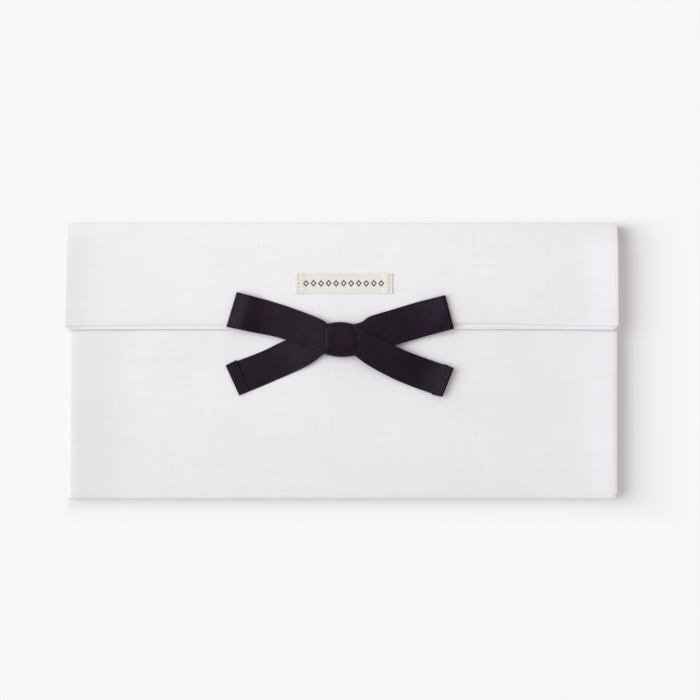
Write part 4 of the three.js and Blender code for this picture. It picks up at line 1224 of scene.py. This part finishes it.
def label_rise(x):
    """How far the tape's face stands over the flap: two plies at the ends, one in the middle"""
    from_end = LABEL_HALF - np.abs(x)
    inside = smooth((from_end - TAPE_FOLD - RISE_START) / RISE_RUN)
    dip = STITCH_DIP * bump(from_end, LABEL_STITCH_INSET, STITCH_DIP_WIDTH)
    return 2 * TAPE + ENDS_LOOSE - (TAPE + MIDDLE_PULLED) * inside - dip


def tape_path():
    """Points in x and rise along the middle of the tape, from one folded-under end to the other"""
    radius = TAPE / 2 + 0.02
    x = np.linspace(0, LABEL_HALF - radius, 34)
    over = np.stack([x, label_rise(x) - TAPE / 2], -1)
    beyond, below = turn_back(radius, TAPE_FOLD - radius, 6)
    right = np.concatenate([over, over[-1] + np.concatenate([beyond, -below], 1)])
    return np.concatenate([right[:0:-1] * (-1, 1), right])


def label_face(x, y):
    return flap_height(x, y) + label_rise(x - LABEL_CENTRE[0])


tape_x, tape_rise = tape_path().T
across = np.linspace(-1, 1, TAPE_COLUMNS)[:, None]
corner_lift = CORNER_LIFT * (np.abs(tape_x) / LABEL_HALF) ** 6 * across**2
edge_waves = TAPE_WAVES * np.sin(tape_x * 0.55 + across)
label_y = LABEL_CENTRE[1] + across * (LABEL_HALF_HEIGHT - 0.05 * np.cos(tape_x * 0.9))
label_x = LABEL_CENTRE[0] + tape_x + 0 * label_y
label_z = flap_height(label_x, label_y) + tape_rise + corner_lift + edge_waves
label_grid = np.stack([label_x, label_y, label_z], -1)
woven_label = sheet_mesh("woven_label", label_grid, TAPE, damask, shift=0.5)
hand_over(woven_label, "flap", "label_tape", "label")

for side, sign in (("left", -1), ("right", 1)):
    stitch_x = LABEL_CENTRE[0] + sign * (LABEL_HALF - LABEL_STITCH_INSET)
    first = stitch_x, LABEL_CENTRE[1] - LABEL_STITCH_REACH
    last = stitch_x + LABEL_ROW_SLANT * sign, LABEL_CENTRE[1] + LABEL_STITCH_REACH
    holes = stitch_row([first, last], LABEL_STITCH, LABEL_HOLE_GAP)
    row = stitches(f"label_{side}_stitches", holes, label_face, ecru_thread, thread=LABEL_THREAD)
    hand_over(row, "flap", "white_thread", f"label_{side}_thread")

# %% [markdown]
# ## The bow
#
# One ribbon end is sewn to the bag's front and one to the flap, and both are tied in a bow. A ribbon
# can't stretch, so it is drawn in plan: each arm has an upper and a lower edge, taken from the
# photograph as a few points with a smooth curve through them. Heights come from what lies underneath.

# %% Smooth curves through points
def smooth_line(points, count, closed=False):
    """Catmull-Rom curve through the points, as count points at even distances"""
    points = np.asarray(points, float)
    if closed:
        padded = np.concatenate([points[-1:], points, points[:2]])
    else:
        padded = np.concatenate([2 * points[:1] - points[1:2], points, 2 * points[-1:] - points[-2:-1]])
    u = np.linspace(0, 1, 16, endpoint=False)[:, None]
    runs = []
    for a, b, c, d in zip(padded, padded[1:], padded[2:], padded[3:]):
        runs.append(b + 0.5 * u * (c - a + u * (2 * a - 5 * b + 4 * c - d + u * (3 * (b - c) + d - a))))
    fine = np.concatenate(runs + [padded[-2:-1]])
    travel = np.concatenate([[0], np.cumsum(np.linalg.norm(np.diff(fine, axis=0), axis=1))])
    where = np.linspace(0, travel[-1], count, endpoint=not closed)
    return np.stack([np.interp(where, travel, fine[:, axis]) for axis in range(points.shape[1])], -1)


# %% [markdown]
# ### Sewn ends
#
# Before the bow: the end on the bag's front is turned under and held by a box of black stitches, and the
# end on the flap comes out of the flap's edge seam. Both disappear under the knot.

# %% Ribbon ends on the front and in the flap's seam
RIBBON = 0.38
TURN_UNDER = 7.0
TURN_SLACK = 0.03
END_CLEARANCE = 0.04
ribbon_low, ribbon_high = solid_box("front_ribbon")


def ribbon_sheet(name, grid):
    """Black ribbon with the grid in the middle of its thickness"""
    return sheet_mesh(name, grid, RIBBON, ribbon_black, shift=0.5)


radius = RIBBON / 2 + TURN_SLACK
y_over = np.linspace(ribbon_low[1], ribbon_high[1] - radius, 14)
settle = np.clip((y_over - ribbon_low[1]) / (ribbon_high[1] - TURN_UNDER - ribbon_low[1]), 0, 1)
beyond, below = turn_back(radius, TURN_UNDER, 5)
y_rows = np.append(y_over, y_over[-1] + beyond)
lift = 2 * radius + RIBBON / 2 + END_CLEARANCE
level = lift - np.append(2 * radius * (1 - settle**4), below)
x_places = np.linspace(ribbon_low[0], ribbon_high[0], 9)
ribbon_grid = ply_grid(x_places, y_rows, lambda x, y: front_height(x, y) + level[:, None])
sewn_ribbon = ribbon_sheet("front_ribbon_end", ribbon_grid)
hand_over(sewn_ribbon, "pouch", "black_ribbon", "front_ribbon")

BOX_STITCH = 1.8
BOX_HOLE_GAP = 0.4
BOX_THREAD = 0.24
BOX_PROUD = 0.05
box_low, box_high = solid_box("front_ribbon_thread")
box_sides = np.array([(0, 0), (1, 0), (1, 1), (0, 1), (0, 0)])
box_line = np.where(box_sides, box_high[:2], box_low[:2])
box_rows = [stitch_row(box_line[place:place + 2], BOX_STITCH, BOX_HOLE_GAP) for place in range(4)]
box_holes = np.concatenate(box_rows)
box_stitches = stitches(
    "front_ribbon_stitches",
    box_holes,
    lambda x, y: front_height(x, y) + lift + RIBBON / 2,
    black_thread,
    thread=BOX_THREAD,
    proud=BOX_PROUD,
)
hand_over(box_stitches, "pouch", "black_thread", "front_ribbon_thread")

CAUGHT_LOWER = 1.1
end_low, end_high = solid_box("flap_ribbon_end")
x_places = np.linspace(end_low[0], end_high[0], 7)
y_rows = np.linspace(end_low[1] - CAUGHT_LOWER, end_high[1], 8)
end_grid = ply_grid(x_places, y_rows, lambda x, y: (end_low[2] + end_high[2]) / 2 + 0 * x)
caught_end = ribbon_sheet("flap_ribbon_end_cloth", end_grid)
hand_over(caught_end, "flap", "black_ribbon", "flap_ribbon_end")

# %% [markdown]
# ### Knot
#
# The knot is the ribbon wrapped once round everything, pulled tight. It is a closed band: full width
# across the front, gathered narrower where it turns over the top and the bottom. Its left selvedge is
# turned up and shows as a fine pale line with a dark one beside it, and a crease runs along its right
# side.

# %% Knot band
knot_low, knot_high = solid_box("bow_knot")
KNOT = (knot_low + knot_high) / 2
BAND_FRONT = [(-7.95, 9.9), (-7.5, 11.7), (-5.4, 13.0), (-1.6, 13.55), (2.4, 13.55), (5.6, 13.0), (7.4, 12.0)]
BAND_OVER_TOP = [(7.95, 11.0), (7.4, 10.25), (5.9, 10.05), (4.9, 9.6), (4.3, 8.9)]
BAND_BEHIND = [(3.2, 8.5), (-2.0, 8.4), (-6.2, 8.45), (-7.5, 8.9)]
GATHERED_LEFT = 4.9
GATHERED_RIGHT = 5.8
LEFT_SPREAD = 2.4
RIGHT_SPREAD = 1.6
RIGHT_SLANT = 0.085
SELVEDGE_RISE = 0.3
CREASE_RISE = 0.16
MIDDLE_DIP = 0.12
BAND_ROWS = 64
BAND_COLUMNS = 31

section = smooth_line(BAND_FRONT + BAND_OVER_TOP + BAND_BEHIND, BAND_ROWS, closed=True)
sec_y, sec_z = section[:, :1], section[:, 1:]
front_share = smooth((sec_z - 8.9) / 1.6)
left_edge = GATHERED_LEFT + LEFT_SPREAD * front_share
right_edge = GATHERED_RIGHT + front_share * (RIGHT_SPREAD - RIGHT_SLANT * sec_y)
band_place = np.linspace(-1, 1, BAND_COLUMNS)[None, :]
band_place = np.sign(band_place) * np.abs(band_place) ** 0.85
band_x = np.where(band_place < 0, band_place * left_edge, band_place * right_edge)
top_fall = 0.027 * (band_x - 0.3) ** 2
low_fall = 0.02 * (band_x - 1.5) ** 2
band_y = np.where(sec_y > 0, sec_y * (1 - top_fall / 7.95), sec_y * (1 - low_fall / 7.75))
crown = np.where(band_x < 0, 0.6, 0.3) * np.abs(band_x / 7.3) ** 4
selvedge_line = SELVEDGE_RISE * (bump(band_x, -7.05, 0.28) - bump(band_x, -6.2, 0.42))
crease = CREASE_RISE * bump(band_x, 5.6, 1.4, 0.7)
middle_dip = MIDDLE_DIP * bump(band_x, -1.0, 2.6)
band_z = sec_z + front_share * (selvedge_line + crease - middle_dip - crown)
knot_grid = np.stack([KNOT[0] + band_x, KNOT[1] + band_y + 0 * band_x, band_z + 0 * band_x], -1)
knot_band = sheet_mesh("knot_band", knot_grid, RIBBON, ribbon_black, ring=True)
hand_over(knot_band, "flap", "black_ribbon", "bow_knot")

# %% [markdown]
# Inside the band run the plies that it holds. Between the arms' ends they are one ribbon going back and
# forth three times.

# %% Ribbon inside the knot
CORE_PLIES = 3
CORE_INSET = 2.4
core_low, core_high = solid_box("knot_core")
core_pitch = (core_high[2] - core_low[2] - RIBBON) / CORE_PLIES
radius = core_pitch / 2
turn = np.linspace(0, math.pi, 6)[1:-1]
core_path = []
for ply in range(CORE_PLIES):
    heading = -1 if ply % 2 else 1
    run = np.linspace(core_low[0] + CORE_INSET, core_high[0] - CORE_INSET, 6)[::heading]
    level = core_low[2] + RIBBON / 2 + core_pitch * (ply + 0.5)
    core_path += [(x, level) for x in run]
    if ply < CORE_PLIES - 1:
        core_path += zip(run[-1] + heading * radius * np.sin(turn), level + radius * (1 - np.cos(turn)))
core_y = np.linspace(core_high[1], core_low[1], 7)
core_grid = np.array([[(x, y, z) for y in core_y] for x, z in core_path])
core_ribbon = ribbon_sheet("knot_core_ribbon", core_grid)
hand_over(core_ribbon, "flap", "black_ribbon", "knot_core")

# %% [markdown]
# ### Arms of the bow
#
# An arm is a strip between its two edges. A loop goes out on its lower ply, turns over at the end and
# comes back on top, all one ribbon. A tail goes out and its end is folded once as a hem: on top on the
# left tail, underneath on the right one. Just outside the knot the ribbon is still gathered, so a few
# pleats fan out and fade.

# %% Plan of an arm
ARM_ROWS = 46
ARM_COLUMNS = 17
PLEATS = 2.5
PLEAT_HEIGHT = 0.22
PLEAT_REACH = 0.14
ACROSS = np.linspace(0, 1, ARM_COLUMNS)[None, :, None]
T_ARM, S_ARM = np.meshgrid(np.linspace(-1, 1, ARM_COLUMNS), np.linspace(0, 1, ARM_ROWS))
PLEATS_OF_ARM = PLEAT_HEIGHT * np.cos(PLEATS * math.pi * T_ARM + 0.6) * bump(S_ARM, 0, PLEAT_REACH)


def arm_plan(upper, lower):
    """Plan points of an arm, rows from the knot to its end, columns from the lower to the upper edge"""
    top, bottom = [smooth_line(edge, ARM_ROWS)[:, None] for edge in (upper, lower)]
    return bottom * (1 - ACROSS) + top * ACROSS


def end_fold(plan, z, radius, side):
    """Rows of a half turn past the end of a ply, upwards where side is 1 and downwards where it is -1"""
    out = plan[-1] - plan[-2]
    out = out / np.linalg.norm(out, axis=1, keepdims=True)
    turn = np.linspace(0, math.pi, 7)[1:-1, None]
    x = plan[-1, :, 0] + out[:, 0] * radius * np.sin(turn)
    y = plan[-1, :, 1] + out[:, 1] * radius * np.sin(turn)
    return np.stack([x, y, z[-1] + side * radius * (1 - np.cos(turn))], -1)


def make_arm(name, grid, bend, solids):
    """An arm of the bow from its grid, its transform baked and its solids hidden; the bend is not used"""
    ribbon = ribbon_sheet(name, grid)
    bend_over(ribbon, bend, "black_ribbon", *solids)


# %% [markdown]
# #### Loops
#
# The upper ply bulges: it leaves the knot high, sinks, and rises again before the fold at the end. On
# the left loop that puts a bright rim at the end with a dark band inside it; on the right loop the end
# is the bright part, because there the ribbon rises away from the knot and faces the light.

# %% Left and right loop
LEFT_LOOP_FOLD = 0.55
LEFT_LOOP_SAG = 0.8
LEFT_LOOP_UPPER = (-4.0, 14.4), (-6.3, 16.5), (-10.0, 19.0), (-20.8, 23.2), (-31.7, 26.8), (-46.85, 30.9)
LEFT_LOOP_LOWER = (-4.0, 5.4), (-8.6, 4.6), (-17.0, 6.9), (-29.0, 10.8), (-39.9, 13.0), (-51.5, 15.4)
LEFT_LOWER_PLY = (0, 0.25, 0.5, 1), (11.0, 10.5, 10.3, 10.3)
LEFT_UPPER_PLY = (0, 0.08, 0.25, 0.5, 0.74, 0.88, 1), (12.0, 12.3, 11.6, 11.0, 11.1, 12.6, 11.25)
LEFT_LOOP_BEND = "flap", "left_loop", (-8.3, 10.4, 12.2), (-12, 10.4, 12.2)
RIGHT_LOOP_FOLD = 1.08
RIGHT_LOOP_SAG = 0.4
RIGHT_LOOP_UPPER = (
    (2.6, 14.6),
    (5.4, 16.4),
    (9.2, 17.7),
    (12.8, 20.1),
    (22.6, 23.1),
    (33.5, 26.4),
    (45.4, 29.4),
)
RIGHT_LOOP_LOWER = (2.6, 5.4), (5.9, 4.8), (12.0, 4.6), (25.4, 7.7), (38.9, 11.6), (49.4, 14.4)
RIGHT_LOWER_PLY = (0, 0.3, 1), (10.2, 10.15, 10.15)
RIGHT_UPPER_PLY = (0, 0.2, 0.45, 0.75, 0.9, 1), (11.4, 11.2, 10.75, 10.7, 11.55, 12.3)
RIGHT_LOOP_BEND = "flap", "right_loop", (22.7, 15.54, 11.6), (28.7, 16.22, 11.6)
LEFT_LOOP_SOLIDS = ("left_loop",)
RIGHT_LOOP_SOLIDS = "right_loop", "right_loop_root_upper", "right_loop_root_lower"


def loop_grid(plan, lower_ply, upper_ply, fold, sag):
    """One ribbon: out on the lower ply, round the end and back on the upper ply, its lower edge sagging"""
    sunk = sag * np.clip(-T_ARM, 0, 1) ** 2 * np.clip((S_ARM - 0.4) / 0.3, 0, 1)
    z_low = eased(S_ARM, *lower_ply) + 0.3 * PLEATS_OF_ARM - sunk
    z_high = eased(S_ARM, *upper_ply) - 0.22 * T_ARM**2 + PLEATS_OF_ARM - sunk
    z_high[-1] = z_low[-1] + 2 * fold
    outward, back = [np.concatenate([plan, z[..., None]], -1) for z in (z_low, z_high)]
    return np.concatenate([outward, end_fold(plan, z_low, fold, 1), back[::-1]])


plan = arm_plan(LEFT_LOOP_UPPER, LEFT_LOOP_LOWER)
grid = loop_grid(plan, LEFT_LOWER_PLY, LEFT_UPPER_PLY, LEFT_LOOP_FOLD, LEFT_LOOP_SAG)[:, ::-1]
make_arm("left_loop_ribbon", grid, LEFT_LOOP_BEND, LEFT_LOOP_SOLIDS)

plan = arm_plan(RIGHT_LOOP_UPPER, RIGHT_LOOP_LOWER)
grid = loop_grid(plan, RIGHT_LOWER_PLY, RIGHT_UPPER_PLY, RIGHT_LOOP_FOLD, RIGHT_LOOP_SAG)
make_arm("right_loop_ribbon", grid, RIGHT_LOOP_BEND, RIGHT_LOOP_SOLIDS)

# %% [markdown]
# #### Tails
#
# The left tail leaves the knot under its loop and comes down on the bag's front. The right tail starts
# on top of its loop, so its upper edge is held up where it still crosses the loop, and only sinks to the
# cloth beyond. Its tip curls up a little.

# %% Left and right tail
HEM_FOLD = 0.3
HEM_ROWS = 12
EDGE_HELD_UP = 0.8
LEFT_TAIL_UPPER = (-4.0, 13.4), (-9.0, 14.2), (-14.5, 13.6), (-26.3, 9.0), (-37.1, 3.9), (-52.3, -1.9)
LEFT_TAIL_LOWER = (-4.0, 5.0), (-8.8, 2.9), (-12.7, -0.1), (-18.1, -3.2), (-30.2, -8.7), (-46.2, -15.3)
LEFT_TAIL_HEIGHT = (0, 0.15, 0.3, 0.45, 0.6, 0.85, 1), (10.2, 10.0, 9.1, 8.05, 7.7, 7.8, 7.65)
LEFT_HEM = (-42.2, -13.4), (-47.7, 0.4)
LEFT_TAIL_BEND = "flap", "left_tail", (-23.06, 1.58, 9.49), (-28.96, 0.50, 9.49)
LEFT_TAIL_SOLIDS = "left_tail", "left_tail_root"
RIGHT_TAIL_UPPER = (2.6, 14.6), (5.4, 15.8), (12.0, 12.9), (23.6, 6.9), (33.5, 2.7), (50.1, -3.1)
RIGHT_TAIL_LOWER = (2.6, 5.0), (6.3, 2.2), (11.8, -1.8), (22.6, -7.6), (33.5, -12.1), (44.9, -16.0)
RIGHT_TAIL_HEIGHT = (0, 0.1, 0.35, 0.5, 0.65, 0.8, 0.9, 1), (12.1, 12.3, 11.35, 10.6, 9.6, 9.0, 9.5, 10.7)
RIGHT_HEM = (40.6, -15.0), (46.4, -1.4)
RIGHT_TAIL_BEND = "flap", "right_tail", (5.2, 9.2, 12.2), (9.2, 9.2, 12.2)
RIGHT_TAIL_SOLIDS = ("right_tail",)


def tail_grid(plan, height, tilt, hem, side):
    """One ribbon: out to the end, and back as a hem to two corners; side is 1 for a hem on top"""
    z = eased(S_ARM, *height) + tilt * T_ARM - 0.15 * T_ARM**2 * (1 - S_ARM) + PLEATS_OF_ARM
    outward = np.concatenate([plan, z[..., None]], -1)
    share = np.linspace(0, 1, 6)[:, None, None]
    hem_end = np.array(hem[0]) * (1 - ACROSS) + np.array(hem[1]) * ACROSS
    back = plan[-1][None] * (1 - share) + hem_end * share
    reach = np.linalg.norm(hem_end - plan[-1][None], axis=2) * share[..., 0]
    travel = np.linalg.norm(plan[-1] - plan[-HEM_ROWS], axis=1)[None]
    rise_back = (z[-HEM_ROWS] - z[-1])[None] * reach / travel
    z_back = z[-1][None] + rise_back + side * 2 * HEM_FOLD
    hem_rows = np.concatenate([back, z_back[..., None]], -1)
    return np.concatenate([outward, end_fold(plan, z, HEM_FOLD, side), hem_rows])


plan = arm_plan(LEFT_TAIL_UPPER, LEFT_TAIL_LOWER)
left_tail = tail_grid(plan, LEFT_TAIL_HEIGHT, 0, LEFT_HEM, 1)
make_arm("left_tail_ribbon", left_tail, LEFT_TAIL_BEND, LEFT_TAIL_SOLIDS)

plan = arm_plan(RIGHT_TAIL_UPPER, RIGHT_TAIL_LOWER)
held_up = EDGE_HELD_UP * bump(S_ARM, 0.5, 0.2)
right_tail = tail_grid(plan, RIGHT_TAIL_HEIGHT, held_up, RIGHT_HEM, -1)[:, ::-1]
make_arm("right_tail_ribbon", right_tail, RIGHT_TAIL_BEND, RIGHT_TAIL_SOLIDS)

# %% [markdown]
# The hems are held by a row of black stitches near the folded edge. They are the only marks on the
# tails, so each is a thread with its own highlight.

# %% Hem stitches
HEM_STITCH_INSET = 1.5
HEM_THREAD = 0.3


def hem_stitches(tail, grid, hem, end_lower, end_upper, side):
    """Stitches across a hem, at a short distance from its inner edge"""
    inner = np.array(hem)
    towards_end = np.array([end_lower, end_upper]) - inner
    towards_end /= np.linalg.norm(towards_end, axis=1, keepdims=True)
    line = inner + towards_end * HEM_STITCH_INSET
    line = line[0] + (line[1] - line[0]) * np.array([[0.06], [0.94]])
    surface = grid[:ARM_ROWS].reshape(-1, 3)
    raise_by = RIBBON / 2 + max(side, 0) * 2 * HEM_FOLD

    def height(x, y):
        near = [np.argmin((surface[:, 0] - a) ** 2 + (surface[:, 1] - b) ** 2) for a, b in zip(x, y)]
        return surface[near, 2] + raise_by

    holes = stitch_row(line, 2.0, 0.55)
    row = stitches(f"{tail}_stitches", holes, height, black_thread, thread=HEM_THREAD, proud=0.1)
    hand_over(row, tail, "black_thread", f"{tail}_thread")


hem_stitches("left_tail", left_tail, LEFT_HEM, LEFT_TAIL_LOWER[-1], LEFT_TAIL_UPPER[-1], 1)
hem_stitches("right_tail", right_tail, RIGHT_HEM, RIGHT_TAIL_LOWER[-1], RIGHT_TAIL_UPPER[-1], -1)
